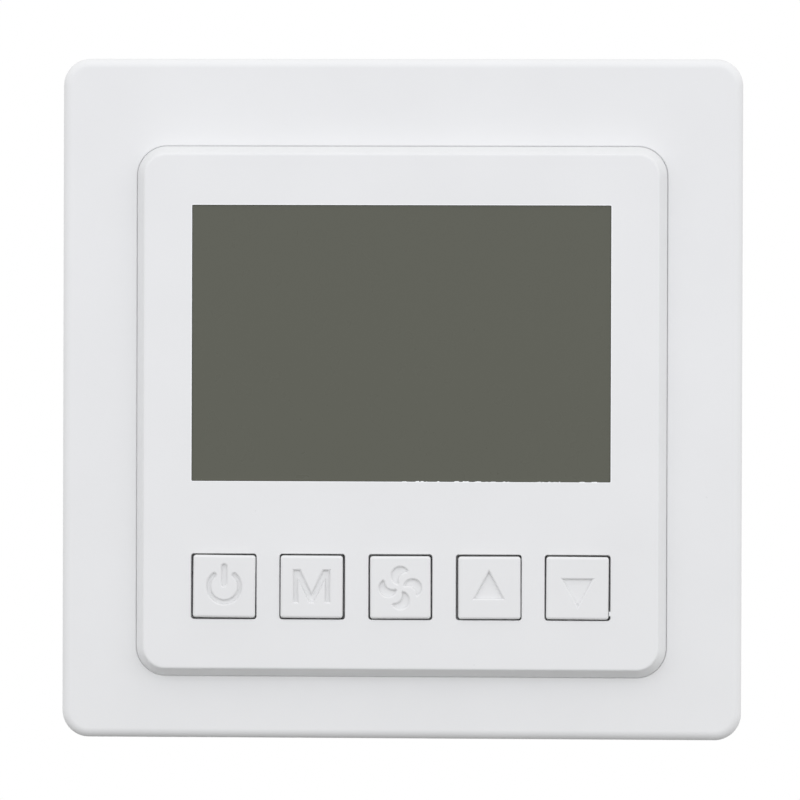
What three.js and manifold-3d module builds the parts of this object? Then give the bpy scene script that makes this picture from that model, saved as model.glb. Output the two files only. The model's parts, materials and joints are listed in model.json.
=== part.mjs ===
// Wall thermostat for a fan-coil unit: an 86 mm square plate on a standard wall box, with a
// display window and a row of five keys. Sizes are in millimetres.
// Everything is laid out with x to the right, y up and z out of the wall, whose surface is
// z = 0. The last group turns that layout so that +Z is up and the front faces -Y.
import * as THREE from "three";
import { mergeVertices } from "three/addons/utils/BufferGeometryUtils.js";
import Module from "manifold-3d";

const wasm = await Module();
wasm.setup();

// ---- Driving dimensions: the front, seen from ahead ----
const windowWidth = 53; // display window
const windowHeight = 34.9;
const windowCornerR = 0.3;
const windowSide = 7; // from the window to the panel's side
const windowTop = 7.35; // from the window to the panel's top
const bandHeight = 9.25; // from the window to the key openings
const keyBottom = 7.3; // from the key openings to the panel's bottom
const frameSide = 9.5; // from the panel to the plate's side
const frameTop = 11.1;
const frameBottom = 7.9;
const faceCornerR = 3.4;
const faceEdgeR = 1;
const panelCornerR = 3.8;
const panelRise = 2.2; // the panel stands this far ahead of the frame
const panelSlope = 1.1; // plan width of the panel's sloping edge
const panelJoint = 0.2; // parting line between the frame and the panel

// ---- Driving dimensions: keys and their switches ----
const keyCount = 5;
const keyOpening = 8.2;
const keyOpeningR = 0.5;
const keyGap = 0.28; // round a cap in its opening
const keyProud = 0.4; // a cap stands this far ahead of the panel
const keyTravel = 0.5;
const keyEdgeR = 0.35;
const keyWall = 1.2;
const keyFlange = 0.8; // thickness of the flange that keeps a cap in, and its reach
const keyStemR = 1.2;
const iconDepth = 0.25;
const switchSide = 6;
const plungerR = 1.75;
const plungerHold = 1.3; // length of a plunger inside its switch

// ---- Driving dimensions: mouldings ----
const frameSkin = 2;
const skirtWall = 1.8;
const wallGap = 0.3; // between the skirt's edge and the wall
const panelSkin = 2;
const panelWall = 2;
const lipThick = 0.6; // the panel's lip in front of the display
const flangeThick = 1.5;
const flangeReach = 2;
const clipWidth = 8;
const clipThick = 1.2;
const clipReach = 0.7;
const bossR = 2.1;
const bossInset = 3.1; // from the panel's side to a boss's centre
const postR = 1.8; // the frame's posts, which plug into the mounting plate
const postInset = 3.2; // from the inside of the skirt to a post's centre
const postRise = 11.2; // from the inside of the skirt to a post's centre, up or down
const socketWall = 0.7;
const ventCount = 9;
const ventWidth = 1.4;
const ventPitch = 3.2;
const ventMargin = 0.5; // above the plate's rim and below the frame's skin
const notchWidth = 8; // pry notches in the skirt's lower edge
const notchHeight = 1.2;
const notchSpacing = 40;

// ---- Driving dimensions: display and control board ----
const displayLap = 1.2; // the glass reaches this far behind the lip
const displayThick = 2.2;
const displaySink = 0.25; // the display's front sheet stands in the window, this far behind its rim
const guideThick = 2.5;
const holderFloor = 1.1;
const holderWall = 1.1;
const holderLedge = 4;
const stripLength = 50; // rubber contact strip between the board and the glass
const stripWidth = 2;
const lampThick = 1.6; // backlight lamps
const lampLength = 3.2;
const lampHeight = 3;
const boardThick = 1.6;
const boardInset = 0.5; // the control board lies this far inside the panel's outline
const boardRoom = 0.5; // from the wall-box screws' heads to the control board
const chipSide = 10;
const chipThick = 1.4;
const crystalLength = 10.5;
const crystalWidth = 4.2;
const crystalHeight = 3.4;
const sensorR = 1; // bead of the temperature sensor
const sensorLeg = 3.4;
const sensorLegR = 0.25;
const sensorSpread = 1.2; // between its two legs
const boardScrewR = 0.9;
const boardScrewHeadR = 1.7;
const boardScrewHead = 1.1;
const boardScrewGrip = 3;

// ---- Driving dimensions: mounting plate and rear housing ----
const plateThick = 2;
const plateGap = 0.5; // between the plate and the frame's skirt
const plateCornerR = 1.5;
const rimWall = 1.5;
const rimHeight = 1.6;
const boxScrewPitch = 60; // the wall box's two screw holes
const boxScrewR = 1.95;
const boxScrewLength = 20;
const boxScrewHeadR = 3.6;
const boxScrewHead = 2.2;
const slotLength = 8; // the plate's slots let it be set upright
const earRoom = 5; // from a wall-box screw's axis to the rear housing
const housingWall = 1.6;
const housingCornerR = 2;
const housingSink = 0.4; // the housing's edge stands in a shallow seat in the plate's back
const collarDepth = 5;
const collarWall = 1.5;
const tabWidth = 8; // snap tabs that hold the rear housing
const tabHeight = 1.2;
const tabReach = 1;
const tabDrop = 2; // from the wall's surface to a tab
const legSide = 3; // the plate's legs press on the power board
const railThick = 1.5; // the housing's rails carry the power board
const railWidth = 5;

// ---- Driving dimensions: power board ----
const boardSetback = 12; // from the wall's surface back to the power board
const partGap = 1; // between neighbouring components
const relayCount = 4;
const relayLength = 17.6;
const relayHeight = 12.3;
const relayLift = 0.6; // from the tallest relay to the housing's floor
const capacitorR = 5;
const fuseRoom = 10; // width of the column that holds the fuse and the varistor
const fuseR = 2.6;
const varistorThick = 4;
const bobbinInset = 2.5; // the transformer's winding stands inside its core
const headerPins = 8;
const pinPitch = 2.54;
const pinSide = 0.64;
const headerBody = 2.5;
const pinLength = 11;
const socketHeight = 8.5;
const socketDepth = 3.4;
const headerLift = 16; // from the middle of the plate up to the header

// ---- Driving dimensions: terminals ----
const terminalCount = 6;
const terminalReach = 11; // height of the terminal block
const cellWall = 1.4;
const endRoom = 1.9; // between the terminal block and the housing's side
const headSink = 0.8;
const terminalHeadR = 2;
const terminalHead = 1.6;
const terminalShankR = 1.25;
const headLedge = 0.8;
const driverSlot = 0.6;
const driverDepth = 0.7;
const cageWall = 0.8;
const cageEnd = 1;
const cageMouth = 3.6;
const cageLength = 6.5;
const cageTravel = 2.5;
const stripMetal = 0.8; // contact strips
const cageInset = 1; // from the block's open side to the cages

// ---- Clearances ----
const seat = 0.1; // between a piece and the face that carries it
const fit = 0.15; // round a piece in its pocket
const run = 0.2; // round a piece that moves
const past = 1; // how far a cutter runs past the surface that it cuts

// ---- Places worked out from the driving dimensions ----
const panelWidth = windowWidth + 2 * windowSide;
const panelHeight = windowTop + windowHeight + bandHeight + keyOpening + keyBottom;
const faceWidth = panelWidth + 2 * frameSide;
const faceHeight = frameTop + panelHeight + frameBottom;
const panelY = (frameBottom - frameTop) / 2;
const windowY = panelY + panelHeight / 2 - windowTop - windowHeight / 2;
const keyY = panelY - panelHeight / 2 + keyBottom + keyOpening / 2;
const keyPitch = (windowWidth - keyOpening) / (keyCount - 1);
const keyCap = keyOpening - 2 * keyGap;

// Depths, from the wall outwards.
const headFront = plateThick + seat + boxScrewHead;
const boardBack = headFront + boardRoom;
const boardFront = boardBack + boardThick;
const holderBack = boardFront + seat;
const guideBack = holderBack + holderFloor + seat;
const displayBack = guideBack + guideThick + seat;
const panelFront = displayBack + displayThick + seat + lipThick;
const frameFront = panelFront - panelRise;
const frameInside = frameFront - frameSkin;
const panelInside = panelFront - panelSkin;
const flangeFront = frameInside - seat;
const flangeBack = flangeFront - flangeThick;
const rimFront = plateThick + rimHeight;
const capFlangeFront = panelInside - run;
const capBack = capFlangeFront - keyFlange;
const switchFront = capBack - keyTravel - run - seat;
const plungerFront = capBack - seat;
const plungerBack = switchFront - plungerHold;

// Depths, from the wall into the wall box.
const powerFront = -boardSetback;
const powerBack = powerFront - boardThick;
const housingInside = powerBack - seat - relayHeight - relayLift;
const housingBack = housingInside - housingWall;

// Plan sizes behind the face.
const displayWidth = windowWidth + 2 * displayLap;
const displayHeight = windowHeight + 2 * displayLap;
const skirtInX = faceWidth / 2 - skirtWall;
const skirtInY = faceHeight / 2 - skirtWall;
const postX = skirtInX - postInset;
const postY = skirtInY - postRise;
const bossX = panelWidth / 2 - bossInset;
const bossY = panelHeight / 2 - bossInset;
const plateWidth = 2 * (skirtInX - plateGap);
const plateHeight = 2 * (skirtInY - plateGap);
const housingSide = boxScrewPitch - 2 * earRoom;
const housingHole = housingSide - 2 * housingWall;
const collarSide = housingHole - 2 * fit;
const collarHole = collarSide - 2 * collarWall;
const powerSide = housingHole - 4 * run;
const blockWidth = housingHole - 2 * endRoom;
const blockY = -housingSide / 2 + terminalReach / 2;
const terminalPitch = blockWidth / terminalCount;

// Places inside the terminals.
const headBack = housingBack + headSink;
const ledgeBack = headBack + terminalHead + seat;
const chamberBack = ledgeBack + headLedge;
const chamberWidth = terminalPitch - cellWall;
const cageWidth = chamberWidth - 2 * run;
const cageHeight = 2 * cageEnd + cageMouth;
const cageBack = chamberBack + cageTravel + 2 * run;
const stripBack = cageBack + cageEnd + run;
const cageY = -housingSide / 2 + cageInset + cageLength / 2;
const stripTop = cageY + cageLength / 2 + run + stripMetal;

// ---- Materials ----
const finish = (color, roughness, metalness = 0) =>
  new THREE.MeshStandardMaterial({ color, roughness, metalness });
const whitePlastic = finish(0xe6e7ea, 0.55);
const keyPlastic = finish(0xe3e5e8, 0.5);
const baseWhite = finish(0xdedfe0, 0.6);
const displayGlass = finish(0x61625a, 0.2);
const clearAcrylic = finish(0xe8eef0, 0.15);
const greenLaminate = finish(0x1f6b3a, 0.5);
const blackPlastic = finish(0x202124, 0.5);
const greyRubber = finish(0x4a4c50, 0.8);
const brownPlastic = finish(0x6b4a32, 0.5);
const bluePlastic = finish(0x2b5fa8, 0.45);
const greenPlastic = finish(0x3c8f4e, 0.5);
const tinPlate = finish(0xb9bcc0, 0.35, 0.9);
const steel = finish(0xa8abae, 0.35, 0.95);
const brass = finish(0xc9a24a, 0.35, 0.95);

// ---- Solids ----
// A closed three.js geometry as a solid that can be joined and cut.
function solidOf(geometry) {
  const bare = geometry.clone();
  bare.deleteAttribute("normal");
  bare.deleteAttribute("uv");
  const merged = mergeVertices(bare, 1e-4);
  const index = merged.index.array;
  const triangles = [];
  for (let i = 0; i < index.length; i += 3) {
    const [a, b, c] = index.slice(i, i + 3);
    if (a !== b && b !== c && c !== a) triangles.push(a, b, c);
  }
  const vertProperties = merged.attributes.position.array;
  const triVerts = new Uint32Array(triangles);
  return new wasm.Manifold(new wasm.Mesh({ numProp: 3, vertProperties, triVerts }));
}

// A rectangle with round corners, about the origin.
function roundedRect(width, height, radius) {
  const x = width / 2 - radius;
  const y = height / 2 - radius;
  const shape = new THREE.Shape();
  shape.absarc(x, y, radius, 0, Math.PI / 2);
  shape.absarc(-x, y, radius, Math.PI / 2, Math.PI);
  shape.absarc(-x, -y, radius, Math.PI, 1.5 * Math.PI);
  shape.absarc(x, -y, radius, 1.5 * Math.PI, 2 * Math.PI);
  return shape;
}

// Steps that draw a quarter circle of a radius, so that small corners stay light.
const stepsFor = (radius) => Math.min(4, 1 + Math.floor(radius));

// A shape with straight sides, from depth back to depth front.
function prism(shape, back, front, curveSegments = 4) {
  const depth = front - back;
  const made = new THREE.ExtrudeGeometry(shape, { depth, bevelEnabled: false, curveSegments });
  return solidOf(made.translate(0, 0, back));
}

function slab(width, height, radius, back, front, y = 0) {
  const shape = roundedRect(width, height, radius);
  return prism(shape, back, front, stepsFor(radius)).translate([0, y, 0]);
}

// A slab whose front edge slopes, or is rounded if it has steps: reach in plan, rise in depth.
function domed(width, height, radius, back, front, reach, rise, steps) {
  const options = {
    depth: front - rise - back,
    bevelThickness: rise,
    bevelSize: reach,
    bevelOffset: -reach,
    bevelSegments: steps,
    curveSegments: stepsFor(radius),
  };
  const made = new THREE.ExtrudeGeometry(roundedRect(width, height, radius), options);
  const whole = solidOf(made.translate(0, 0, back));
  return whole.intersect(box(2 * width, 2 * height, back, front + past));
}

function box(width, height, back, front, x = 0, y = 0) {
  const made = new THREE.BoxGeometry(width, height, front - back);
  return solidOf(made.translate(x, y, (back + front) / 2));
}

function rod(radius, back, front, x = 0, y = 0, sides = 20) {
  const made = new THREE.CylinderGeometry(radius, radius, front - back, sides);
  return solidOf(made.rotateX(Math.PI / 2).translate(x, y, (back + front) / 2));
}

// A rod along x instead of z.
function rodAcross(radius, length, x, y, z, sides = 20) {
  const made = new THREE.CylinderGeometry(radius, radius, length, sides);
  return solidOf(made.rotateZ(Math.PI / 2).translate(x, y, z));
}

const joined = (solids) => solids.reduce((whole, next) => whole.add(next));
const cutBy = (solid, cutters) => cutters.reduce((rest, next) => rest.subtract(next), solid);

// The four places at plus and minus x and y.
const corners = (x, y) => [
  [x, y],
  [-x, y],
  [-x, -y],
  [x, -y],
];

// The middle of copy i in a row of count copies about zero.
const inRow = (i, count, pitch) => (i - (count - 1) / 2) * pitch;
const rowOf = (count, pitch) => Array.from({ length: count }, (_, i) => inRow(i, count, pitch));

const thermostat = new THREE.Group();

function place(name, solid, material, x = 0, y = 0) {
  const mesh = solid.getMesh();
  const geometry = new THREE.BufferGeometry();
  const positions = new THREE.BufferAttribute(new Float32Array(mesh.vertProperties), 3);
  geometry.setAttribute("position", positions);
  geometry.setIndex(new THREE.BufferAttribute(new Uint32Array(mesh.triVerts), 1));
  geometry.computeVertexNormals();
  const piece = new THREE.Mesh(geometry, material);
  piece.name = name;
  piece.position.set(x, y, 0);
  thermostat.add(piece);
}

// ---- Front mouldings ----
function outerFrame() {
  const shell = domed(
    faceWidth, faceHeight, faceCornerR, wallGap, frameFront, faceEdgeR, faceEdgeR, 4,
  );
  const holeR = Math.max(faceCornerR - skirtWall, seat);
  const hollow = slab(2 * skirtInX, 2 * skirtInY, holeR, wallGap - past, frameInside);
  const openingW = panelWidth + 2 * panelJoint;
  const openingH = panelHeight + 2 * panelJoint;
  const openingR = panelCornerR + panelJoint;
  const opening = slab(openingW, openingH, openingR, wallGap, frameFront + past, panelY);
  const hollowShell = cutBy(shell, [hollow, opening, ...vents(), ...pryNotches()]);
  return joined([hollowShell, ...framePosts(), ...panelClips()]);
}

// Air slots for the sensor, through the top and bottom of the skirt.
function vents() {
  const back = rimFront + ventMargin;
  const front = frameInside - ventMargin;
  const ys = [faceHeight / 2, -faceHeight / 2];
  return rowOf(ventCount, ventPitch).flatMap((x) =>
    ys.map((y) => box(ventWidth, 2 * skirtWall + past, back, front, x, y)),
  );
}

// Notches for the blade that pries the front off its plate.
function pryNotches() {
  return rowOf(2, notchSpacing).map((x) =>
    box(notchWidth, 2 * skirtWall + past, wallGap - past, wallGap + notchHeight, x, -faceHeight / 2),
  );
}

function framePosts() {
  return corners(postX, postY).map(([x, y]) =>
    rod(postR, plateThick, frameInside + frameSkin / 2, x, y, 16),
  );
}

// Clips that hook behind the panel's flange: one at each side, and two above and two below,
// beyond the ends of the row of vents.
function panelClips() {
  const lipBack = flangeBack - run - clipThick;
  const lipFront = flangeBack - run;
  const root = frameInside + frameSkin / 2;
  const inX = panelWidth / 2 + flangeReach;
  const inY = panelHeight / 2 + flangeReach;
  const wide = clipThick + clipReach + run;
  const clipX = (ventCount * ventPitch + clipWidth) / 2;
  return [1, -1].flatMap((side) => {
    const x = side * (inX + run + clipThick / 2);
    const y = panelY + side * (inY + run + clipThick / 2);
    const lipX = side * (inX - clipReach + wide / 2);
    const lipY = panelY + side * (inY - clipReach + wide / 2);
    return [
      box(clipThick, clipWidth, lipBack, root, x, panelY),
      box(wide, clipWidth, lipBack, lipFront, lipX, panelY),
      box(clipWidth, clipThick, lipBack, root, clipX, y),
      box(clipWidth, wide, lipBack, lipFront, clipX, lipY),
      box(clipWidth, clipThick, lipBack, root, -clipX, y),
      box(clipWidth, wide, lipBack, lipFront, -clipX, lipY),
    ];
  });
}

function centrePanel() {
  const body = domed(
    panelWidth, panelHeight, panelCornerR, flangeBack, panelFront, panelSlope, panelRise, 1,
  );
  const flangeW = panelWidth + 2 * flangeReach;
  const flangeH = panelHeight + 2 * flangeReach;
  const flange = slab(flangeW, flangeH, panelCornerR + flangeReach, flangeBack, flangeFront);
  const trayW = panelWidth - 2 * panelWall;
  const trayH = panelHeight - 2 * panelWall;
  const trayR = Math.max(panelCornerR - panelWall, seat);
  const tray = slab(trayW, trayH, trayR, flangeBack - past, panelInside);
  const window = slab(
    windowWidth, windowHeight, windowCornerR, flangeBack, panelFront + past, windowY - panelY,
  );
  const pocketW = displayWidth + 2 * fit;
  const pocketH = displayHeight + 2 * fit;
  const pocketFront = panelFront - lipThick;
  const pocket = slab(pocketW, pocketH, windowCornerR, flangeBack, pocketFront, windowY - panelY);
  const keyHole = slab(
    keyOpening, keyOpening, keyOpeningR, flangeBack, panelFront + past, keyY - panelY,
  );
  const keyHoles = rowOf(keyCount, keyPitch).map((x) => keyHole.translate([x, 0, 0]));
  const bossBack = boardFront + seat;
  const bosses = corners(bossX, bossY).map(([x, y]) =>
    rod(bossR, bossBack, panelInside + panelSkin / 2, x, y, 16),
  );
  const pilots = corners(bossX, bossY).map(([x, y]) =>
    rod(boardScrewR + seat, bossBack - past, bossBack + boardScrewGrip + past, x, y, 12),
  );
  const shell = cutBy(body.add(flange), [tray, window, pocket, ...keyHoles]);
  return cutBy(joined([shell, ...bosses]), pilots).translate([0, panelY, 0]);
}

// ---- Keys ----
// An arc drawn as a band with round ends, from one angle to another.
function arcStroke(radius, width, from, to) {
  const half = width / 2;
  const at = (angle) => [radius * Math.cos(angle), radius * Math.sin(angle)];
  const shape = new THREE.Shape();
  shape.absarc(0, 0, radius + half, from, to);
  shape.absarc(...at(to), half, to, to + Math.PI);
  shape.absarc(0, 0, radius - half, to, from, true);
  shape.absarc(...at(from), half, from + Math.PI, from + 2 * Math.PI);
  return [shape];
}

function polygon(points) {
  return [new THREE.Shape(points.map(([x, y]) => new THREE.Vector2(x, y)))];
}

// The power sign: an open ring with a bar in its gap.
function powerIcon() {
  const ringR = 0.255 * keyCap;
  const stroke = 0.08 * keyCap;
  const gap = 0.65; // half the ring's gap, in radians
  const top = Math.PI / 2;
  const bar = roundedRect(1.25 * stroke, 1.5 * ringR, 0.6 * stroke);
  const ring = arcStroke(ringR, stroke, top + gap, top + 2 * Math.PI - gap);
  return [
    ...ring.map((shape) => [shape, 0]),
    [bar, 0.75 * ringR],
  ];
}

// The letter M, for mode.
function modeIcon() {
  const half = 0.305 * keyCap;
  const top = 0.29 * keyCap;
  const bottom = -0.25 * keyCap;
  const stroke = 0.085 * keyCap;
  const left = [
    [-half, bottom],
    [-half, top],
    [-half + 1.2 * stroke, top],
    [0, bottom + 1.8 * stroke],
  ];
  const inner = [
    [half - stroke, bottom],
    [half - stroke, top - 2 * stroke],
    [0.6 * stroke, bottom],
    [-0.6 * stroke, bottom],
    [-half + stroke, top - 2 * stroke],
    [-half + stroke, bottom],
  ];
  const right = [
    [half - 1.2 * stroke, top],
    [half, top],
    [half, bottom],
  ];
  return polygon([...left, ...right, ...inner]).map((shape) => [shape, 0]);
}

// The four-bladed fan: each blade is a disc with a smaller disc taken out of its trailing side.
function fanIcon() {
  const bladeR = 0.155 * keyCap;
  const hub = 0.2 * keyCap;
  const shape = new THREE.Shape();
  shape.absarc(0, hub, bladeR, -0.5 * Math.PI, Math.PI * 0.1, true);
  shape.absarc(0.9 * bladeR, hub - 0.5 * bladeR, 0.95 * bladeR, 0.62 * Math.PI, 1.15 * Math.PI);
  return [0, 1, 2, 3].map((turn) => [shape, 0, (turn * Math.PI) / 2]);
}

// An arrow head; direction is 1 for up and -1 for down.
function arrowIcon(direction) {
  const half = 0.265 * keyCap;
  const base = -0.17 * keyCap * direction;
  const tip = 0.295 * keyCap * direction;
  const points = [
    [-half * direction, base],
    [half * direction, base],
    [0, tip],
  ];
  return polygon(points).map((shape) => [shape, 0]);
}

// A cap: a hollow square block with a stem in the middle and a flange that keeps it in.
function keyCapSolid(icon) {
  const capFront = panelFront + keyProud;
  const block = domed(
    keyCap, keyCap, keyOpeningR, capBack, capFront, keyEdgeR, keyEdgeR, 3,
  );
  const flangeSide = keyCap + 2 * (keyGap + keyFlange);
  const flange = slab(flangeSide, flangeSide, keyOpeningR, capBack, capFlangeFront);
  const hollowSide = keyCap - 2 * keyWall;
  const hollow = slab(
    hollowSide, hollowSide, keyOpeningR, capBack - past, capFront - iconDepth - keyWall,
  );
  const stem = rod(keyStemR, capBack, capFront - iconDepth - keyWall / 2, 0, 0, 16);
  const cutters = icon.map(([shape, lift, turn = 0]) =>
    prism(shape, capFront - iconDepth, capFront + past)
      .translate([0, lift, 0])
      .rotate([0, 0, THREE.MathUtils.radToDeg(turn)]),
  );
  return cutBy(block.add(flange).subtract(hollow).add(stem), cutters);
}

function switchBody() {
  const body = box(switchSide, switchSide, boardFront + seat, switchFront);
  const boreBack = plungerBack - keyTravel - seat;
  return body.subtract(rod(plungerR + seat, boreBack, switchFront + past));
}

const keys = [
  ["power", powerIcon()],
  ["mode", modeIcon()],
  ["fan", fanIcon()],
  ["up", arrowIcon(1)],
  ["down", arrowIcon(-1)],
];

function addKeys() {
  keys.forEach(([name, icon], i) => {
    const x = inRow(i, keyCount, keyPitch);
    place(`${name}_key`, keyCapSolid(icon), keyPlastic, x, keyY);
    place(`${name}_switch`, switchBody(), blackPlastic, x, keyY);
    place(`${name}_plunger`, rod(plungerR, plungerBack, plungerFront), brownPlastic, x, keyY);
  });
}

// ---- Display ----
function displayHolder() {
  const innerW = displayWidth + 2 * fit;
  const innerH = displayHeight + 2 * fit;
  const outerW = innerW + 2 * holderWall;
  const outerH = innerH + 2 * holderWall;
  const front = panelInside - seat;
  const block = slab(outerW, outerH, windowCornerR + holderWall, holderBack, front);
  const pocket = slab(innerW, innerH, windowCornerR, holderBack + holderFloor, front + past);
  const floorHole = box(innerW, innerH - 2 * holderLedge, holderBack - past, front);
  const slotW = stripLength + 2 * fit;
  const slotH = stripWidth + 2 * fit;
  const slotY = -displayHeight / 2 + stripWidth / 2;
  const stripSlot = box(slotW, slotH, holderBack - past, front, 0, slotY);
  return cutBy(block, [pocket, floorHole, stripSlot]);
}

function lightGuide() {
  const width = displayWidth - 2 * (lampThick + fit);
  const bottom = -displayHeight / 2 + stripWidth + 2 * fit;
  const top = displayHeight / 2;
  const height = top - bottom;
  return slab(width, height, windowCornerR, guideBack, guideBack + guideThick, (top + bottom) / 2);
}

function addDisplay() {
  const displayFront = displayBack + displayThick;
  const glass = slab(displayWidth, displayHeight, windowCornerR, displayBack, displayFront);
  const sheetW = windowWidth - 2 * seat;
  const sheetH = windowHeight - 2 * seat;
  const sheet = slab(sheetW, sheetH, windowCornerR, displayBack, panelFront - displaySink);
  place("display_glass", glass.add(sheet), displayGlass, 0, windowY);
  place("light_guide", lightGuide(), clearAcrylic, 0, windowY);
  place("display_holder", displayHolder(), baseWhite, 0, windowY);
  const lampBack = boardFront + seat;
  const lampX = (displayWidth - lampThick) / 2;
  const lamp = box(lampThick, lampLength, lampBack, lampBack + lampHeight);
  place("backlight_lamp_left", lamp, clearAcrylic, -lampX, windowY);
  place("backlight_lamp_right", lamp, clearAcrylic, lampX, windowY);
  const strip = box(stripLength, stripWidth, boardFront + seat, displayBack - seat);
  place("contact_strip", strip, greyRubber, 0, windowY - displayHeight / 2 + stripWidth / 2);
}

// ---- Control board ----
function controlBoard() {
  const width = panelWidth - 2 * boardInset;
  const height = panelHeight - 2 * boardInset;
  const board = slab(width, height, panelCornerR - boardInset, boardBack, boardFront);
  const holes = corners(bossX, bossY).map(([x, y]) =>
    rod(boardScrewR + run, boardBack - past, boardFront + past, x, y, 16),
  );
  return cutBy(board, holes);
}

function boardScrew() {
  const headFace = boardBack - seat;
  const head = rod(boardScrewHeadR, headFace - boardScrewHead, headFace, 0, 0, 16);
  const tip = boardFront + seat + boardScrewGrip;
  const shank = rod(boardScrewR, headFace - boardScrewHead / 2, tip, 0, 0, 12);
  return head.add(shank).subtract(crossRecess(boardScrewHeadR, headFace - boardScrewHead, 1));
}

// A cross recess in a screw head whose outer face is at depth face; inward is 1 if the head's
// material lies at greater depth than its face, and -1 if it lies at less.
function crossRecess(headR, face, inward) {
  const depth = 0.35 * headR * inward;
  const back = Math.min(face - past * inward, face + depth);
  const front = Math.max(face - past * inward, face + depth);
  const long = 1.2 * headR;
  const thin = 0.25 * headR;
  return box(long, thin, back, front).add(box(thin, long, back, front));
}

function sensor() {
  const z = boardBack - seat - sensorLegR;
  const bead = solidOf(new THREE.SphereGeometry(sensorR, 12, 8).translate(0, 0, z));
  const legs = [-0.5, 0.5].map((side) => {
    const made = new THREE.CylinderGeometry(sensorLegR, sensorLegR, sensorLeg, 8);
    return solidOf(made.translate(side * sensorSpread, sensorLeg / 2, z));
  });
  return joined([bead, ...legs]);
}

function header() {
  const back = boardBack - seat - headerBody;
  const strip = box(headerPins * pinPitch, headerBody, back, boardBack - seat);
  const pins = rowOf(headerPins, pinPitch).map((x) =>
    box(pinSide, pinSide, back - pinLength, back + headerBody / 2, x),
  );
  return joined([strip, ...pins]);
}

function addControlBoard() {
  place("control_board", controlBoard(), greenLaminate, 0, panelY);
  corners(bossX, bossY).forEach(([x, y], i) =>
    place(`board_screw_${i + 1}`, boardScrew(), steel, x, panelY + y),
  );
  const chip = box(chipSide, chipSide, boardBack - seat - chipThick, boardBack - seat);
  place("microcontroller", chip, blackPlastic, -chipSide, panelY);
  const bandTop = windowY - displayHeight / 2 - fit - holderWall;
  const bandBottom = keyY + keyCap / 2 + keyGap + keyFlange;
  const crystal = slab(
    crystalLength, crystalWidth, crystalWidth / 3, boardFront + seat, boardFront + crystalHeight,
  );
  place("crystal", crystal, tinPlate, -keyPitch, (bandTop + bandBottom) / 2);
  const boardEdge = panelY - panelHeight / 2 + boardInset;
  place("temperature_sensor", sensor(), blackPlastic, -2 * keyPitch, boardEdge - 2 * sensorR);
  place("board_header", header(), blackPlastic, 0, headerLift);
}

// ---- Mounting plate ----
function mountingPlate() {
  const flange = slab(plateWidth, plateHeight, plateCornerR, 0, plateThick);
  const rim = slab(plateWidth, plateHeight, plateCornerR, 0, rimFront).subtract(
    slab(plateWidth - 2 * rimWall, plateHeight - 2 * rimWall, seat, -past, rimFront + past),
  );
  const collar = box(collarSide, collarSide, -collarDepth, plateThick);
  const hole = box(collarHole, collarHole, -collarDepth - past, plateThick + past);
  const legPlace = (collarSide - legSide) / 2;
  const legs = corners(legPlace, legPlace).map(([x, y]) =>
    box(legSide, legSide, powerFront + seat, plateThick, x, y),
  );
  const socketFront = rimFront + rimHeight;
  const sockets = corners(postX, postY).map(([x, y]) =>
    rod(postR + fit + socketWall, 0, socketFront, x, y, 16),
  );
  const bores = corners(postX, postY).map(([x, y]) =>
    rod(postR + fit, -past, socketFront + past, x, y, 16),
  );
  const tabs = [1, -1].map((side) => {
    const x = (side * (collarSide + tabReach - collarWall)) / 2;
    return box(tabReach + collarWall, tabWidth, -tabDrop - tabHeight, -tabDrop, x);
  });
  const slotShape = roundedRect(2 * (boxScrewR + run), slotLength, boxScrewR);
  const slots = rowOf(2, boxScrewPitch).map((x) =>
    prism(slotShape, -past, plateThick + past).translate([x, 0, 0]),
  );
  const seatSide = housingSide + 2 * run;
  const housingSeat = slab(seatSide, seatSide, housingCornerR + run, -past, housingSink);
  const base = joined([flange, rim, ...sockets]).subtract(housingSeat);
  const shell = base.add(collar).subtract(hole);
  return cutBy(joined([shell, ...legs, ...tabs]), [...bores, ...slots]);
}

function boxScrew() {
  const headBackFace = plateThick + seat;
  const head = domedHead(boxScrewHeadR, headBackFace, boxScrewHead);
  const tip = headBackFace - boxScrewLength;
  const shank = rod(boxScrewR, tip, headBackFace + boxScrewHead / 2, 0, 0, 16);
  return head.add(shank).subtract(crossRecess(boxScrewHeadR, headBackFace + boxScrewHead, -1));
}

// A pan head: straight at its foot and rounded towards its front.
function domedHead(radius, back, height) {
  const profile = [new THREE.Vector2(0, 0), new THREE.Vector2(radius, 0)];
  const steps = 4;
  for (let i = 0; i <= steps; i += 1) {
    const angle = (i / steps) * (Math.PI / 2);
    const shoulder = height / 2;
    const r = radius - shoulder * (1 - Math.cos(angle));
    profile.push(new THREE.Vector2(r, shoulder + shoulder * Math.sin(angle)));
  }
  profile.push(new THREE.Vector2(0, height));
  const made = new THREE.LatheGeometry(profile, 20);
  return solidOf(made.rotateX(Math.PI / 2).translate(0, 0, back));
}

function addMountingPlate() {
  place("mounting_plate", mountingPlate(), baseWhite);
  place("box_screw_left", boxScrew(), steel, -boxScrewPitch / 2);
  place("box_screw_right", boxScrew(), steel, boxScrewPitch / 2);
}

// ---- Rear housing ----
function rearHousing() {
  const front = housingSink - seat;
  const shell = slab(housingSide, housingSide, housingCornerR, housingBack, front);
  const hollow = box(housingHole, housingHole, housingInside, front + past);
  const notch = box(
    blockWidth + 2 * fit, terminalReach + fit + past, housingBack - past, powerBack + run,
    0, blockY + (fit - past) / 2,
  );
  const tabSlots = [1, -1].map((side) =>
    box(
      2 * housingWall + past, tabWidth + 2 * run, -tabDrop - tabHeight - run, -tabDrop + run,
      (side * housingSide) / 2,
    ),
  );
  const railX = (housingHole - railThick) / 2;
  const railY = (housingHole - railWidth) / 2;
  const rails = corners(railX, railY).map(([x, y]) =>
    box(railThick, railWidth, housingInside - housingWall / 2, powerBack - seat, x, y),
  );
  return joined([cutBy(shell, [hollow, notch, ...tabSlots]), ...rails]);
}

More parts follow.
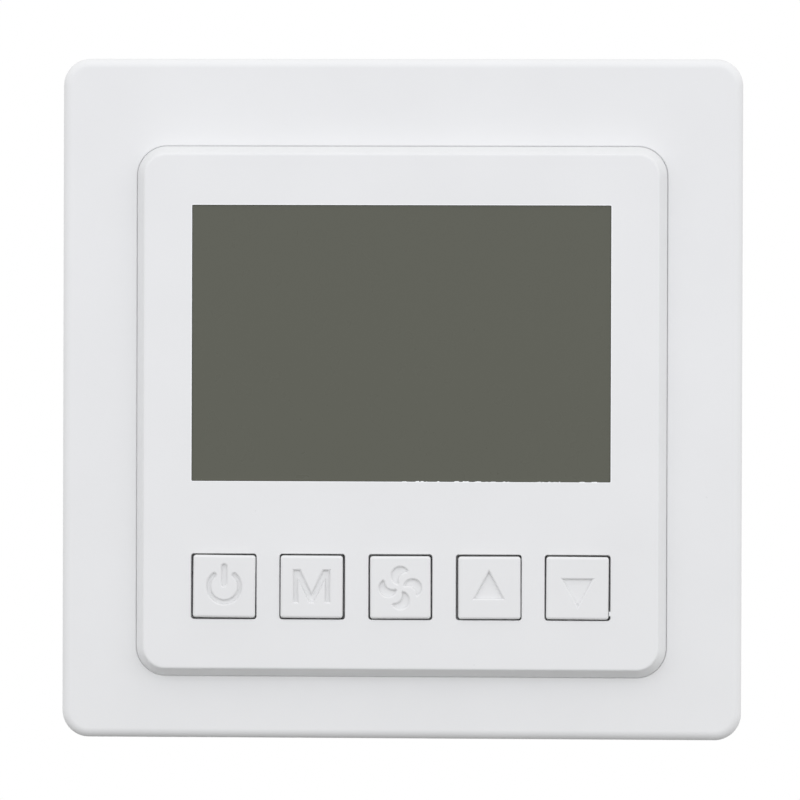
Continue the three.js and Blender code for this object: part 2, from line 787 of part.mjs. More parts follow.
// ---- Power board ----
function powerBoard() {
  const board = slab(powerSide, powerSide, seat, powerBack, powerFront);
  const strips = rowOf(terminalCount, terminalPitch).flatMap((x) => contactStrip(x));
  return joined([board, ...strips]);
}

// A contact strip, soldered to the board: a riser, and a tongue that passes through a cage.
function contactStrip(x) {
  const width = cageWidth - 2 * cageWall - 2 * run;
  const tongueBottom = cageY - cageLength / 2;
  const tongueY = (tongueBottom + stripTop) / 2;
  const riserY = stripTop - stripMetal / 2;
  return [
    box(width, stripTop - tongueBottom, stripBack, stripBack + stripMetal, x, tongueY),
    box(width, stripMetal, stripBack, powerBack + boardThick / 2, x, riserY),
  ];
}

// Components stand on the back of the power board, so their depths run from it inwards.
function addPowerBoard() {
  place("power_board", powerBoard(), greenLaminate);
  const foot = powerBack - seat;
  const relayWidth = (powerSide - (relayCount + 1) * partGap) / relayCount;
  const relayBottom = blockY + terminalReach / 2 + partGap;
  const relay = domedBack(relayWidth, relayLength, foot, relayHeight);
  rowOf(relayCount, relayWidth + partGap).forEach((x, i) =>
    place(`relay_${i + 1}`, relay, bluePlastic, x, relayBottom + relayLength / 2),
  );
  const upperBottom = relayBottom + relayLength + partGap;
  const upperTop = powerSide / 2 - partGap;
  const upperHeight = upperTop - upperBottom;
  const upperY = (upperTop + upperBottom) / 2;
  const upperRight = housingHole / 2 - railThick - partGap;
  const fuseX = upperRight - fuseRoom / 2;
  const capacitorX = fuseX - fuseRoom / 2 - partGap - capacitorR;
  const coreRight = capacitorX - capacitorR - partGap;
  const coreLeft = -upperRight;
  const core = transformer(coreRight - coreLeft, upperHeight, foot);
  place("transformer", core, tinPlate, (coreLeft + coreRight) / 2, upperY);
  const can = rod(capacitorR, foot - relayHeight, foot);
  place("capacitor", can, blackPlastic, capacitorX, upperY);
  const fuseLength = fuseRoom - partGap;
  const fuse = rodAcross(fuseR, fuseLength, 0, 0, foot - fuseR);
  place("fuse", fuse, clearAcrylic, fuseX, upperBottom + fuseR);
  const discR = fuseLength / 2;
  const disc = new THREE.CylinderGeometry(discR, discR, varistorThick, 20);
  const varistor = solidOf(disc.translate(0, 0, foot - discR));
  place("varistor", varistor, bluePlastic, fuseX, upperTop - varistorThick / 2);
  place("header_socket", headerSocket(), blackPlastic, 0, headerLift);
}

// A box with its back edges rounded, standing on depth foot and reaching back by height.
function domedBack(width, length, foot, height) {
  const made = domed(width, length, partGap / 2, 0, height, partGap / 2, partGap / 2, 1);
  return made.rotate([180, 0, 0]).translate([0, 0, foot]);
}

function transformer(width, length, foot) {
  const back = foot - relayHeight;
  const core = box(width - 2 * bobbinInset, length, back, foot);
  const winding = box(width, length - 2 * bobbinInset, back + bobbinInset, foot - bobbinInset);
  return core.add(winding);
}

function headerSocket() {
  const foot = powerFront + seat;
  const front = foot + socketHeight;
  const strip = box(headerPins * pinPitch, socketDepth, foot, front);
  const holes = rowOf(headerPins, pinPitch).map((x) =>
    box(pinSide + 2 * run, pinSide + 2 * run, foot + past, front + past, x),
  );
  return cutBy(strip, holes);
}

// ---- Terminals ----
function terminalBlock() {
  const block = box(blockWidth, terminalReach, housingBack, powerBack - seat);
  const cutters = rowOf(terminalCount, terminalPitch).flatMap((x) => [
    rod(terminalHeadR + run, housingBack - past, ledgeBack, x, cageY - blockY, 16),
    rod(terminalShankR + run, ledgeBack - past, chamberBack + past, x, cageY - blockY, 12),
    chamber(x),
    stripSlot(x),
  ]);
  return cutBy(block, cutters);
}

// The chamber in which a cage slides, open at the block's lower side for the wire.
function chamber(x) {
  const bottom = -terminalReach / 2 - past;
  const top = cageY + cageLength / 2 + run - blockY;
  const front = cageBack + cageHeight + run;
  return box(chamberWidth, top - bottom, chamberBack, front, x, (top + bottom) / 2);
}

// The slot that a contact strip comes through from the board.
function stripSlot(x) {
  const bottom = cageY - blockY;
  const top = stripTop + run - blockY;
  const width = cageWidth - 2 * cageWall;
  return box(width, top - bottom, stripBack - run, powerBack + past, x, (top + bottom) / 2);
}

function terminalScrew() {
  const head = rod(terminalHeadR, headBack, headBack + terminalHead, 0, 0, 16);
  const shank = rod(terminalShankR, headBack + terminalHead / 2, stripBack - seat, 0, 0, 12);
  const slot = box(2 * terminalHeadR + past, driverSlot, headBack - past, headBack + driverDepth);
  return head.add(shank).subtract(slot);
}

// A cage: a loop of metal that the screw pulls up, so that it clamps the wire to the strip.
function cage() {
  const loop = box(cageWidth, cageLength, cageBack, cageBack + cageHeight);
  const mouthBack = cageBack + cageEnd;
  const mouthWidth = cageWidth - 2 * cageWall;
  const mouth = box(mouthWidth, cageLength + past, mouthBack, mouthBack + cageMouth);
  const bore = rod(terminalShankR + run, cageBack - past, mouthBack + seat, 0, 0, 12);
  return cutBy(loop, [mouth, bore]);
}

function addTerminals() {
  place("terminal_block", terminalBlock(), greenPlastic, 0, blockY);
  rowOf(terminalCount, terminalPitch).forEach((x, i) => {
    place(`terminal_screw_${i + 1}`, terminalScrew(), steel, x, cageY);
    place(`terminal_cage_${i + 1}`, cage(), brass, x, cageY);
  });
}

// ---- Assembly ----
place("outer_frame", outerFrame(), whitePlastic);
place("centre_panel", centrePanel(), whitePlastic);
addDisplay();
addKeys();
addControlBoard();
addMountingPlate();
place("rear_housing", rearHousing(), baseWhite);
addPowerBoard();
addTerminals();
thermostat.rotation.x = Math.PI / 2;

const part = new THREE.Group();
part.add(thermostat);
export default part;
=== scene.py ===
"""The looks of a wall thermostat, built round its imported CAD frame.

Shapes are made in the part's layout, in millimetres: x to the right, y up and z out of the wall.
piece() turns a finished shape into the row frame, in metres, with +Z up and the front facing -Y.
"""

import json
import math
import random

import bmesh
import bpy
from mathutils import Matrix, Vector

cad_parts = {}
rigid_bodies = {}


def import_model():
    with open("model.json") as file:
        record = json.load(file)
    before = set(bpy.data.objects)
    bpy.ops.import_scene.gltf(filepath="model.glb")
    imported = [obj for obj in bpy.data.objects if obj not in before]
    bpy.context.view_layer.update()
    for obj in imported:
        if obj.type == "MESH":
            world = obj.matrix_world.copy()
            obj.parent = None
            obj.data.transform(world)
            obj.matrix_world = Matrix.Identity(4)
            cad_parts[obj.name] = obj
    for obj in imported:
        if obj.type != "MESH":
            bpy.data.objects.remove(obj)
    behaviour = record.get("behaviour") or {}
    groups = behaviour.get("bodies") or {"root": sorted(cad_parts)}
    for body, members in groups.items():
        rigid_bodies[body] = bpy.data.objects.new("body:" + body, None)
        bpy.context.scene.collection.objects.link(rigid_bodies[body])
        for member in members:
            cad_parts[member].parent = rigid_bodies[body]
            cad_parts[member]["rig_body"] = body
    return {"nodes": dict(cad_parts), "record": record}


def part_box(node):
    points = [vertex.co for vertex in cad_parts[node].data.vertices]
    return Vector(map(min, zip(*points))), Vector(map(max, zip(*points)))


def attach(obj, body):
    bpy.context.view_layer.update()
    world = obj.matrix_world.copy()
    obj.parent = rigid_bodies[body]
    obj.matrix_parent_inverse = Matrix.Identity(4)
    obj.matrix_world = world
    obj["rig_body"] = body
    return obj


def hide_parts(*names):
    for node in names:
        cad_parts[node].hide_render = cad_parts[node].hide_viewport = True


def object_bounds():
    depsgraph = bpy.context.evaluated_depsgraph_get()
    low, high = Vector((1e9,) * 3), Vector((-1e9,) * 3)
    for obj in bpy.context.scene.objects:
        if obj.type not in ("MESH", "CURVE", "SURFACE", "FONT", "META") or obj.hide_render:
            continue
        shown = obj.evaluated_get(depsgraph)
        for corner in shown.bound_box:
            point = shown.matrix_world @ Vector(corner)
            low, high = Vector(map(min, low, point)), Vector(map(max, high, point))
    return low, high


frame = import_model()
cad_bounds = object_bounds()
scene = bpy.context.scene
SLOTS = {row["node"]: row["material_slot"] for row in frame["record"]["subparts"]}

MM = 0.001
TO_ROW = Matrix(((MM, 0, 0, 0), (0, 0, -MM, 0), (0, MM, 0, 0), (0, 0, 0, 1)))
SHARP = math.radians(32)  # a steeper edge isn't smoothed
QUARTER = math.pi / 2
PAST = 1.0  # how far a cutter runs past the surface it cuts
EDGE = 0.15  # radius of a moulded edge that isn't meant to look round

# ---- Camera and light ----
CAMERA_DISTANCE = 660.0
CAMERA_LENS = 231.13
OBJECT_YAW = math.radians(-2.323)
OBJECT_PITCH = math.radians(0.431)
OBJECT_ROLL = math.radians(-0.195)
OBJECT_OFFSET = Vector((0.63, 0.219, 0.0))
LIGHT_LEAN = (0.06, -0.14, 0.05)  # more light from the right, from ahead and from above
LIGHT_BY_HEIGHT = ((0.0, 0.0), (0.25, 0.5), (0.5, 0.95), (0.75, 0.98), (1.0, 1.0))
FLOOR_DROP = 0.3
FLOOR_SIZE = 6.0

# ---- Frame ----
FACE_CORNER = 3.4
FACE_EDGE = 1.2
SKIRT = 1.8  # thickness of the frame's sides
FRAME_SKIN = 2.0
FRAME_MOUTH = 0.2  # rounding of the frame's edge round the panel
PARTING_SIDE = 0.028  # seen gap between frame and panel, which rests on the opening's lower edge
PARTING_TOP = 0.012
PARTING_BOTTOM = 0.005
PEG_R = 1.8
PEG_INSET = 3.2
PEG_DROP = 11.2
VENTS = 9
VENT_PITCH = 3.2
VENT_WIDTH = 1.4
VENT_BACK = 4.1
NOTCH_WIDTH = 8.0
NOTCH_HEIGHT = 1.2
NOTCH_X = 20.0
HOOK_WIDTH = 8.0
HOOK_THICK = 1.2
HOOK_REACH = 0.7
HOOK_GAP = 0.2

# ---- Panel and window ----
PANEL_CORNER = 3.8
PANEL_SLOPE = 1.1
PANEL_WALL = 2.0
PANEL_SKIN = 2.0
FLANGE_BACK = 5.8  # from the panel's front face to the back of its flange
FLANGE_REACH = 2.0
FLANGE_THICK = 1.5
BOSS_R = 2.1
PILOT_R = 0.85
LIP = 0.6
GLASS_LAPS = (1.3, 1.27, 1.14, 1.34)  # left, right, bottom and top
GLASS_ROOM = 0.3  # the display's pockets are this much larger than it
WINDOW_CORNER = 0.12
DISPLAY_SINK = 0.14
RIM_WIDTH = 0.12

# ---- Keys ----
KEY_OPENING = 8.26
KEY_OPENING_CORNER = 0.36
KEY_CAP = 7.84
CAP_DROP = 0.025  # a cap's lower side reaches this much further down
CAP_CORNER = 0.36
CAP_EDGE = 0.35
CAP_WALL = 1.2
CAP_FLANGE_FRONT = 2.2  # behind the panel's front face
ICON_DEPTH = 0.42
ICON_DROP = 0.08

# ---- Wall side ----
PLATE = 2.0
PLATE_RIM_RISE = 3.2  # from the plate's front face to the top of its sockets
SOCKET_X, SOCKET_Y = 38, 30
EAR_X = 30  # half the pitch of the wall box's screws
HOUSING_WALL = 1.6
BOX_HEAD_R, BOX_SHANK_R = 3.6, 1.95
BOARD_HEAD, BOARD_SHANK_R = 1.1, 0.9
TERMINAL_HEAD, TERMINAL_SHANK_R = 1.6, 1.25
TERMINAL_PIN_Y = -16.4
RELAY_PINS = ((-3.4, -7.2), (3.4, -7.2), (0, 1.2), (-3.4, 7.2), (3.4, 7.2))
TRANSFORMER_PIN_X = 8.4
CAPACITOR_LEG = 1.8
TOOTH = ((-0.22, 0.25), (0.22, 0.25), (0, -0.12))  # section of the ridges that grip a wire
FUSE_LEG = 0.9  # from an end of the fuse to its leg
VARISTOR_LEG = 2.5

# ---- Boards ----
LAMINATE = 1.6
TRACK_PITCH = 0.62
TRACK_WIDTH = 0.26
TRACK_RISE = 0.045
SINK = 0.02  # how deep tracks and their ends stand in a board
PIN_PITCH = 2.54
PINS = 8
HEADER_Y = 16.0
SENSOR_PIN_Y = -33.8
SWITCH_FOOT_X = 3.2
WIRE_GAP = 0.6  # half the gap between the sensor's wires
CHIP_TRIES = 4000
CHIPS = ((1.6, 0.8, 0.45), (2.0, 1.25, 0.55), (3.2, 1.6, 0.6), (2.0, 1.25, 0.55))
# Areas on the boards: left, bottom, right and top
POWER_TRACKS = (-22, -22, 22, 22)
POWER_TRACKS_BACK = (-22, -12, 22, 22)
POWER_CHIPS = (-19, -12, 19, 12)
POWER_HEADER = (-22, 11, 22, 22)
CONTROL_CHIPS = (-27, -18, 27, 28)
CONTROL_CHIPS_FRONT = (-3, -17.4, 26, -14.4)
OVER_BOX_SCREWS = ((-34, -6, -24, 6), (24, -6, 34, 6))


def numbered(name, count):
    return [f"{name}_{n}" for n in range(1, count + 1)]


BOARD_SCREWS = numbered("board_screw", 4)
TERMINAL_SCREWS = numbered("terminal_screw", 6)


def add_camera():
    turn = (
        Matrix.Rotation(OBJECT_ROLL, 3, "Z")
        @ Matrix.Rotation(OBJECT_YAW, 3, "Y")
        @ Matrix.Rotation(OBJECT_PITCH, 3, "X")
    )
    back_turn = turn.transposed()
    place = back_turn @ (Vector((0, 0, CAMERA_DISTANCE)) - OBJECT_OFFSET)
    data = bpy.data.cameras.new("camera")
    data.lens, data.clip_start, data.clip_end = CAMERA_LENS, 0.05, 20
    camera = bpy.data.objects.new("camera", data)
    scene.collection.objects.link(camera)
    to_row = TO_ROW.to_3x3() * (1 / MM)
    camera.matrix_world = Matrix.Translation(TO_ROW @ place) @ (to_row @ back_turn).to_4x4()
    scene.camera = camera


# ---- Places ----
class Extent:
    """Where a CAD node is, in the layout."""

    def __init__(self, node):
        low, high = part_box(node)
        self.left, self.right = low.x / MM, high.x / MM
        self.bottom, self.top = low.z / MM, high.z / MM
        self.back, self.front = -high.y / MM, -low.y / MM
        self.x = (self.left + self.right) / 2
        self.y = (self.bottom + self.top) / 2
        self.z = (self.back + self.front) / 2
        self.width = self.right - self.left
        self.height = self.top - self.bottom
        self.depth = self.front - self.back
        self.middle = self.x, self.y
        self.size = self.width, self.height
        self.depths = self.back, self.front


def extents(nodes):
    return [Extent(node) for node in nodes]


def mirrored(x, y):
    """A place and its images across both middle lines."""
    return [(sx * x, sy * y) for sx in (1, -1) for sy in (1, -1)]


# ---- Outlines ----
def polar(x, y, radius, angle):
    return x + radius * math.cos(angle), y + radius * math.sin(angle)


def rounded(width, height, radius, x=0.0, y=0.0, steps=10):
    """A rectangle with round corners about (x, y), anticlockwise."""
    radius = max(min(radius, width / 2, height / 2), 0.01)
    points = []
    for quarter, (sx, sy) in enumerate(((1, 1), (-1, 1), (-1, -1), (1, -1))):
        cx = x + sx * (width / 2 - radius)
        cy = y + sy * (height / 2 - radius)
        angles = (QUARTER * (quarter + i / steps) for i in range(steps + 1))
        points += [polar(cx, cy, radius, angle) for angle in angles]
    return points


def circle(radius, x=0.0, y=0.0, sides=48):
    return [polar(x, y, radius, math.tau * i / sides) for i in range(sides)]


def arc(x, y, radius, start, end, steps):
    return [polar(x, y, radius, start + (end - start) * i / steps) for i in range(steps + 1)]


def moved(points, x, y, turn=0.0):
    c, s = math.cos(turn), math.sin(turn)
    return [(x + px * c - py * s, y + px * s + py * c) for px, py in points]


def grown(points, reach):
    """An anticlockwise outline pushed out by reach."""
    out = []
    count = len(points)
    for i in range(count):
        a, b, c = Vector(points[i - 1]), Vector(points[i]), Vector(points[(i + 1) % count])
        before, after = (b - a).normalized(), (c - b).normalized()
        first, second = Vector((before.y, -before.x)), Vector((after.y, -after.x))
        miter = (first + second) / max(1 + first.dot(second), 0.3)
        out.append(tuple(b + miter * reach))
    return out


# ---- Profiles: (inset, depth) from back to front ----
def near(depth, *points):
    """Points of a profile whose own depths count from depth."""
    return [(inset, depth + z) for inset, z in points]


def quarter_out(edge, depth, steps=6):
    """A convex round that ends in the plane at depth, facing forwards."""
    angles = [QUARTER * i / steps for i in range(steps + 1)]
    return [(edge * (1 - math.cos(a)), depth - edge + edge * math.sin(a)) for a in angles]


def quarter_in(edge, depth, steps=6):
    """The same round at the back, which starts in the plane at depth, facing backwards."""
    return [(inset, 2 * depth - z) for inset, z in reversed(quarter_out(edge, depth, steps))]


def flared(back, front, flare, depth=None):
    """A cutter's profile that widens by flare towards the surface at front."""
    return [(0, back), *near(front, (0, -(depth or flare)), (-flare, 0), (-flare, PAST))]


def eased(first, corner, last, steps=6):
    """A curve from first to last that leaves and arrives along the lines through corner."""
    made = []
    for i in range(steps + 1):
        t = i / steps
        weights = ((1 - t) ** 2, 2 * t * (1 - t), t**2)
        pairs = list(zip(weights, (first, corner, last)))
        made.append(tuple(sum(w * p[axis] for w, p in pairs) for axis in (0, 1)))
    return made


# ---- Solids, in layout millimetres ----
def linked(name, bm):
    bmesh.ops.recalc_face_normals(bm, faces=bm.faces)
    mesh = bpy.data.meshes.new(name)
    bm.to_mesh(mesh)
    bm.free()
    made = bpy.data.objects.new(name, mesh)
    scene.collection.objects.link(made)
    return made


def out_of_wall(u, v, w):
    return (u, v, w)


def upright(u, v, w):
    """A section drawn in x and z, run along y."""
    return (u, w, v)


def across(u, v, w):
    """A section drawn in y and z, run along x."""
    return (w, u, v)


def loft(levels, lay=out_of_wall):
    """A closed solid through outlines of equal counts: levels are (outline, distance)."""
    bm = bmesh.new()
    rings = [[bm.verts.new(lay(u, v, w)) for u, v in outline] for outline, w in levels]
    for low, high in zip(rings, rings[1:]):
        for i, start in enumerate(low):
            bm.faces.new((start, low[(i + 1) % len(low)], high[(i + 1) % len(low)], high[i]))
    bm.faces.new(rings[0][::-1])
    bm.faces.new(rings[-1])
    return linked("solid", bm)


def bar(outline, start, end, lay=out_of_wall):
    return loft([(outline, start), (outline, end)], lay)


def block(width, height, radius, profile, x=0.0, y=0.0, steps=10):
    """A rounded rectangle that follows a profile of (inset, depth)."""
    return loft(
        [
            (rounded(width - 2 * inset, height - 2 * inset, radius - inset, x, y, steps), z)
            for inset, z in profile
        ]
    )


def slab(width, height, radius, back, front, x=0.0, y=0.0, edge=EDGE, steps=6):
    """A plate with a small round along both its faces' edges."""
    profile = [*quarter_in(edge, back, 3), *quarter_out(edge, front, 3)]
    return block(width, height, radius, profile, x, y, steps)


def brick(width, height, back, front, x=0.0, y=0.0, edge=0.1, radius=0.1):
    return slab(width, height, max(radius, edge), back, front, x, y, edge, steps=3)


def sharp(width, height, back, front, x=0.0, y=0.0):
    """A brick for cutting, with hardly rounded edges."""
    return brick(width, height, back, front, x, y, 0.02, 0.05)


def hole(width, height, radius, back, front, x=0.0, y=0.0, mouth=EDGE, steps=10):
    """A cutter for an opening whose edge in the plane at front is rounded by mouth."""
    profile = [(0.0, back), *[(-inset, z) for inset, z in quarter_out(mouth, front)]]
    return block(width, height, radius, [*profile, (-mouth, front + PAST)], x, y, steps)


def turned(profile, x=0.0, y=0.0, sides=48):
    """A solid of revolution from (radius, depth) points."""
    return loft([(circle(max(r, 0.005), x, y, sides), z) for r, z in profile])


def rod(radius, back, front, x=0.0, y=0.0, edge=0.0, sides=48):
    profile = [(0.0, back), (0.0, front)]
    if edge:
        profile = [*quarter_in(edge, back, 3), *quarter_out(edge, front, 3)]
    return turned([(radius - inset, z) for inset, z in profile], x, y, sides)


def baked(made):
    """Applies an object's modifiers to its mesh."""
    graph = bpy.context.evaluated_depsgraph_get()
    mesh = bpy.data.meshes.new_from_object(made.evaluated_get(graph))
    old = made.data
    made.modifiers.clear()
    made.data = mesh
    bpy.data.meshes.remove(old)
    return made


def drop(made):
    mesh = made.data
    bpy.data.objects.remove(made)
    bpy.data.meshes.remove(mesh)


def merged(parts):
    """Several shapes as the shells of one object, with nothing cut or welded."""
    bm = bmesh.new()
    for part in parts:
        bm.from_mesh(part.data)
        drop(part)
    return linked("shells", bm)


def boolean(target, others, operation):
    for other in others:
        step = target.modifiers.new("boolean", "BOOLEAN")
        step.operation = operation
        step.solver = "EXACT"
        step.object = other
    bpy.context.view_layer.update()
    baked(target)
    for other in others:
        drop(other)
    return target


def cut(target, *others):
    return boolean(target, others, "DIFFERENCE")


def joined(target, *others):
    return boolean(target, others, "UNION")


def tidied(made):
    """Takes out the stray points and slivers that booleans leave."""
    bm = bmesh.new()
    bm.from_mesh(made.data)
    bmesh.ops.remove_doubles(bm, verts=bm.verts, dist=1e-4)
    bmesh.ops.dissolve_degenerate(bm, edges=bm.edges, dist=1e-4)
    bm.to_mesh(made.data)
    bm.free()
    return made


def placed(made, x, y, turn=0.0):
    made.data.transform(Matrix.Translation((x, y, 0)) @ Matrix.Rotation(turn, 4, "Z"))
    return made


def copied(made, x, y):
    other = made.copy()
    other.data = made.data.copy()
    scene.collection.objects.link(other)
    return placed(other, x, y)


# ---- Pieces ----
def piece(made, name, body, slot, finish, stands_for=()):
    """Puts a finished shape in the row frame as a named piece of the object."""
    made.name = made.data.name = name
    mesh = made.data
    mesh.transform(TO_ROW)
    mesh.shade_smooth()
    mesh.set_sharp_from_angle(angle=SHARP)
    mesh.materials.clear()
    mesh.materials.append(FINISH[finish or slot])
    step = made.modifiers.new("normals", "WEIGHTED_NORMAL")
    step.keep_sharp = True
    baked(made)
    made.data.name = name
    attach(made, body)
    if stands_for:
        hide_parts(*stands_for)
    return made


def stand_in(made, node, finish=None):
    """A piece that takes one CAD node's place."""
    piece(made, f"{node}_shape", body_of(node), SLOTS[node], finish, [node])


def at_each(made, nodes):
    """One shape, drawn about the origin, for each of several CAD nodes."""
    for node in nodes:
        stand_in(copied(made, *Extent(node).middle), node)
    drop(made)


def detail(made, name, beside, slot, finish=None):
    """A piece with no CAD node of its own, on the body of the node it belongs to."""
    piece(made, name, body_of(beside), slot, finish)


def body_of(node):
    return frame["nodes"][node]["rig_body"]


# ---- Materials ----
FINISH = {}
MIX_A, MIX_B, MIX_RESULT = 6, 7, 2  # a Mix node's sockets for colours


def wired(tree, kind, output, inputs=None, **settings):
    """One output of a new shader node, whose inputs are values or other nodes' outputs."""
    made = tree.nodes.new(f"ShaderNode{kind}")
    for key, value in settings.items():
        setattr(made, key, value)
    for key, value in (inputs or {}).items():
        if isinstance(value, bpy.types.NodeSocket):
            tree.links.new(value, made.inputs[key])
        else:
            made.inputs[key].default_value = value
    return made.outputs[output]


class Surface:
    """A material with one Principled shader, and the node shorthands the finishes share."""

    def __init__(self, name, roughness, metallic=0.0):
        material = FINISH[name] = bpy.data.materials.new(name)
        material.use_nodes = True
        self.tree = material.node_tree
        self.shader = self.tree.nodes["Principled BSDF"].inputs
        self.shader["Roughness"].default_value = roughness
        self.shader["Metallic"].default_value = metallic
        self.coords = self.node("TexCoord", "Object")

    def node(self, kind, output, inputs=None, **settings):
        return wired(self.tree, kind, output, inputs, **settings)

    def texture(self, kind, output, scale, inputs, **settings):
        inputs = {"Vector": self.coords, "Scale": scale, **inputs}
        return self.node(kind, output, inputs, **settings)

    def stretched(self, scale):
        return self.texture("Mapping", "Vector", scale, {})

    def noise(self, size_mm, detail=2, **inputs):
        """Noise with features of about size_mm."""
        inputs["Detail"] = detail
        return self.texture("TexNoise", "Fac", 1 / (size_mm * MM), inputs)

    def patches(self, size_mm, detail=2, low=0.0, high=1.0):
        """Soft patches of about size_mm, whose values go from low to high."""
        return self.ranged(self.noise(size_mm, detail), 0.3, 0.7, low, high)

    def dots(self, size_mm):
        """1 in small dots, one in each cell of about size_mm."""
        distance = self.texture("TexVoronoi", "Distance", 1 / (size_mm * MM), {})
        return self.ranged(distance, 0.012, 0.02, 1.0, 0.0)

    def bands(self, axis, pitch_mm):
        """Even bands across an axis; a wave's own period is a twentieth of a turn."""
        scale, inputs = math.tau / 20 / (pitch_mm * MM), {"Distortion": 0.4}
        return self.texture("TexWave", "Fac", scale, inputs, bands_direction=axis)

    def ranged(self, value, low, high, to_low=0.0, to_high=1.0):
        inputs = {"Value": value, "From Min": low, "From Max": high}
        inputs |= {"To Min": to_low, "To Max": to_high}
        return self.node("MapRange", "Result", inputs)

    def mixed(self, factor, first, second):
        """A colour between two, each a colour or another node's output."""
        inputs = {0: factor, MIX_A: first, MIX_B: second}
        return self.node("Mix", MIX_RESULT, inputs, data_type="RGBA")

    def feed(self, name, output):
        self.tree.links.new(output, self.shader[name])

    def colour(self, output):
        self.feed("Base Color", output)

    def roughness(self, output):
        self.feed("Roughness", output)

    def bump(self, height, depth_mm, strength=1.0, **inputs):
        inputs |= {"Height": height, "Distance": depth_mm * MM, "Strength": strength}
        normal = self.node("Bump", "Normal", inputs)
        self.feed("Normal", normal)
        return normal


def linear(display):
    """A display colour with values from 0 to 255, as scene-linear values from 0 to 1."""
    shares = (n / 255 for n in display)
    curved = (v / 12.92 if v <= 0.04045 else ((v + 0.055) / 1.055) ** 2.4 for v in shares)
    return (*curved, 1.0)


def shaded(colour, share):
    return (*(min(c * share, 1.0) for c in colour[:3]), 1.0)


def plastic(name, display, roughness, drift=0.012, grain_mm=0.16, grain_depth=0.004, speck=0.0):
    """Moulded plastic: slow drifts of shade, a fine moulded grain and a few specks."""
    s, colour = Surface(name, roughness), linear(display)
    base = s.mixed(s.patches(14, 3), shaded(colour, 1 - drift), shaded(colour, 1 + drift))
    if speck:
        base = s.mixed(s.dots(7.5), base, shaded(colour, 1 - speck))
    s.colour(base)
    s.roughness(s.patches(1.1, 2, roughness - 0.04, roughness + 0.05))
    fine = s.bump(s.noise(grain_mm), grain_depth)
    s.bump(s.noise(9, 1), 0.01, 0.4, Normal=fine)


def metal(name, display, roughness, brushed=(1, 1, 1), drift=0.08):
    """Plated or drawn metal: fine marks along the working direction and duller patches."""
    s, colour = Surface(name, roughness, 1.0), linear(display)
    lines = s.noise(0.25, 3, Vector=s.stretched(brushed))
    s.colour(s.mixed(s.patches(2.5), shaded(colour, 1 - drift), colour))
    s.roughness(s.ranged(lines, 0.25, 0.75, roughness - 0.08, roughness + 0.12))
    s.bump(lines, 0.004)


def laminate(name, display):
    """Solder mask over woven glass: the weave shows faintly in shade and in relief."""
    s, colour = Surface(name, 0.35), linear(display)
    threads = {0: s.bands("X", 0.9), 1: s.bands("Z", 0.9)}
    weave = s.node("Math", "Value", threads, operation="MULTIPLY")
    mask = s.mixed(s.patches(6), shaded(colour, 0.9), shaded(colour, 1.1))
    s.colour(s.mixed(s.ranged(weave, 0.0, 1.0, 0.0, 0.35), mask, shaded(colour, 0.72)))
    s.roughness(s.patches(0.5, 2, 0.28, 0.42))
    s.bump(weave, 0.008, 0.6)


def unlit_display(name, display):
    """A switched-off liquid crystal display: an olive grey sheet with a faint cloudiness."""
    s, tone = Surface(name, 0.3), linear(display)
    cloud = s.patches(18)
    grain = s.ranged(s.noise(0.12, 1), 0.2, 0.8)
    base = s.mixed(cloud, shaded(tone, 0.99), shaded(tone, 1.01))
    s.colour(s.mixed(grain, base, shaded(tone, 1.015)))
    s.roughness(s.patches(3, 2, 0.26, 0.34))
    s.bump(s.noise(0.1, 1), 0.001, 0.5)
    s.shader["Specular IOR Level"].default_value = 0.25


def layered_rubber(name, conducting, insulating):
    """Thin conducting and insulating layers across the strip."""
    s = Surface(name, 0.7)
    stripes = s.ranged(s.bands("X", 0.4), 0.4, 0.6)
    s.colour(s.mixed(stripes, linear(conducting), linear(insulating)))
    s.roughness(s.patches(0.8, 2, 0.62, 0.78))
    s.bump(stripes, 0.01, 0.5)


def acrylic(name, display):
    s, colour = Surface(name, 0.12), linear(display)
    s.shader["Transmission Weight"].default_value = 0.85
    s.shader["IOR"].default_value = 1.49
    s.colour(s.mixed(s.patches(5), shaded(colour, 0.96), colour))
    s.roughness(s.patches(0.8, 2, 0.08, 0.18))
    s.bump(s.noise(1.5), 0.01, 0.3)


def make_finishes():
    plastic("white_plastic", (229, 229.6, 229.8), 0.5, speck=0.06)
    # a lighter white for the window's rim: a painted highlight along the lip's edge
    plastic("painted_highlight_white", (243, 244, 245), 0.35)
    plastic("key_plastic", (228, 228.5, 228.5), 0.45, grain_mm=0.12)
    plastic("inner_white", (222, 223, 223), 0.55, drift=0.02, grain_mm=0.3, grain_depth=0.01)
    unlit_display("display", (89.3, 90.4, 80.4))
    acrylic("clear_acrylic", (236, 241, 242))
    laminate("green_laminate", (28, 96, 52))
    plastic("black_plastic", (34, 35, 38), 0.45, drift=0.1, grain_mm=0.1)
    plastic("brown_plastic", (110, 76, 52), 0.5, drift=0.06)
    plastic("blue_plastic", (42, 92, 164), 0.4, drift=0.05)
    plastic("green_plastic", (58, 140, 78), 0.45, drift=0.05)
    metal("tin_plate", (198, 200, 204), 0.36, (1, 1, 0.15))
    metal("steel", (186, 188, 190), 0.32)
    metal("brass", (208, 172, 92), 0.32, (1, 0.2, 1))
    laminate("copper_under_mask", (52, 132, 74))
    metal("lamination", (120, 122, 126), 0.5, (1, 1, 0.15), 0.2)
    plastic("winding_tape", (214, 166, 58), 0.35, drift=0.06)
    plastic("ceramic", (176, 150, 116), 0.5, drift=0.08)
    plastic("phosphor", (238, 214, 96), 0.4, drift=0.05)
    layered_rubber("layered_rubber", (38, 38, 42), (176, 166, 168))


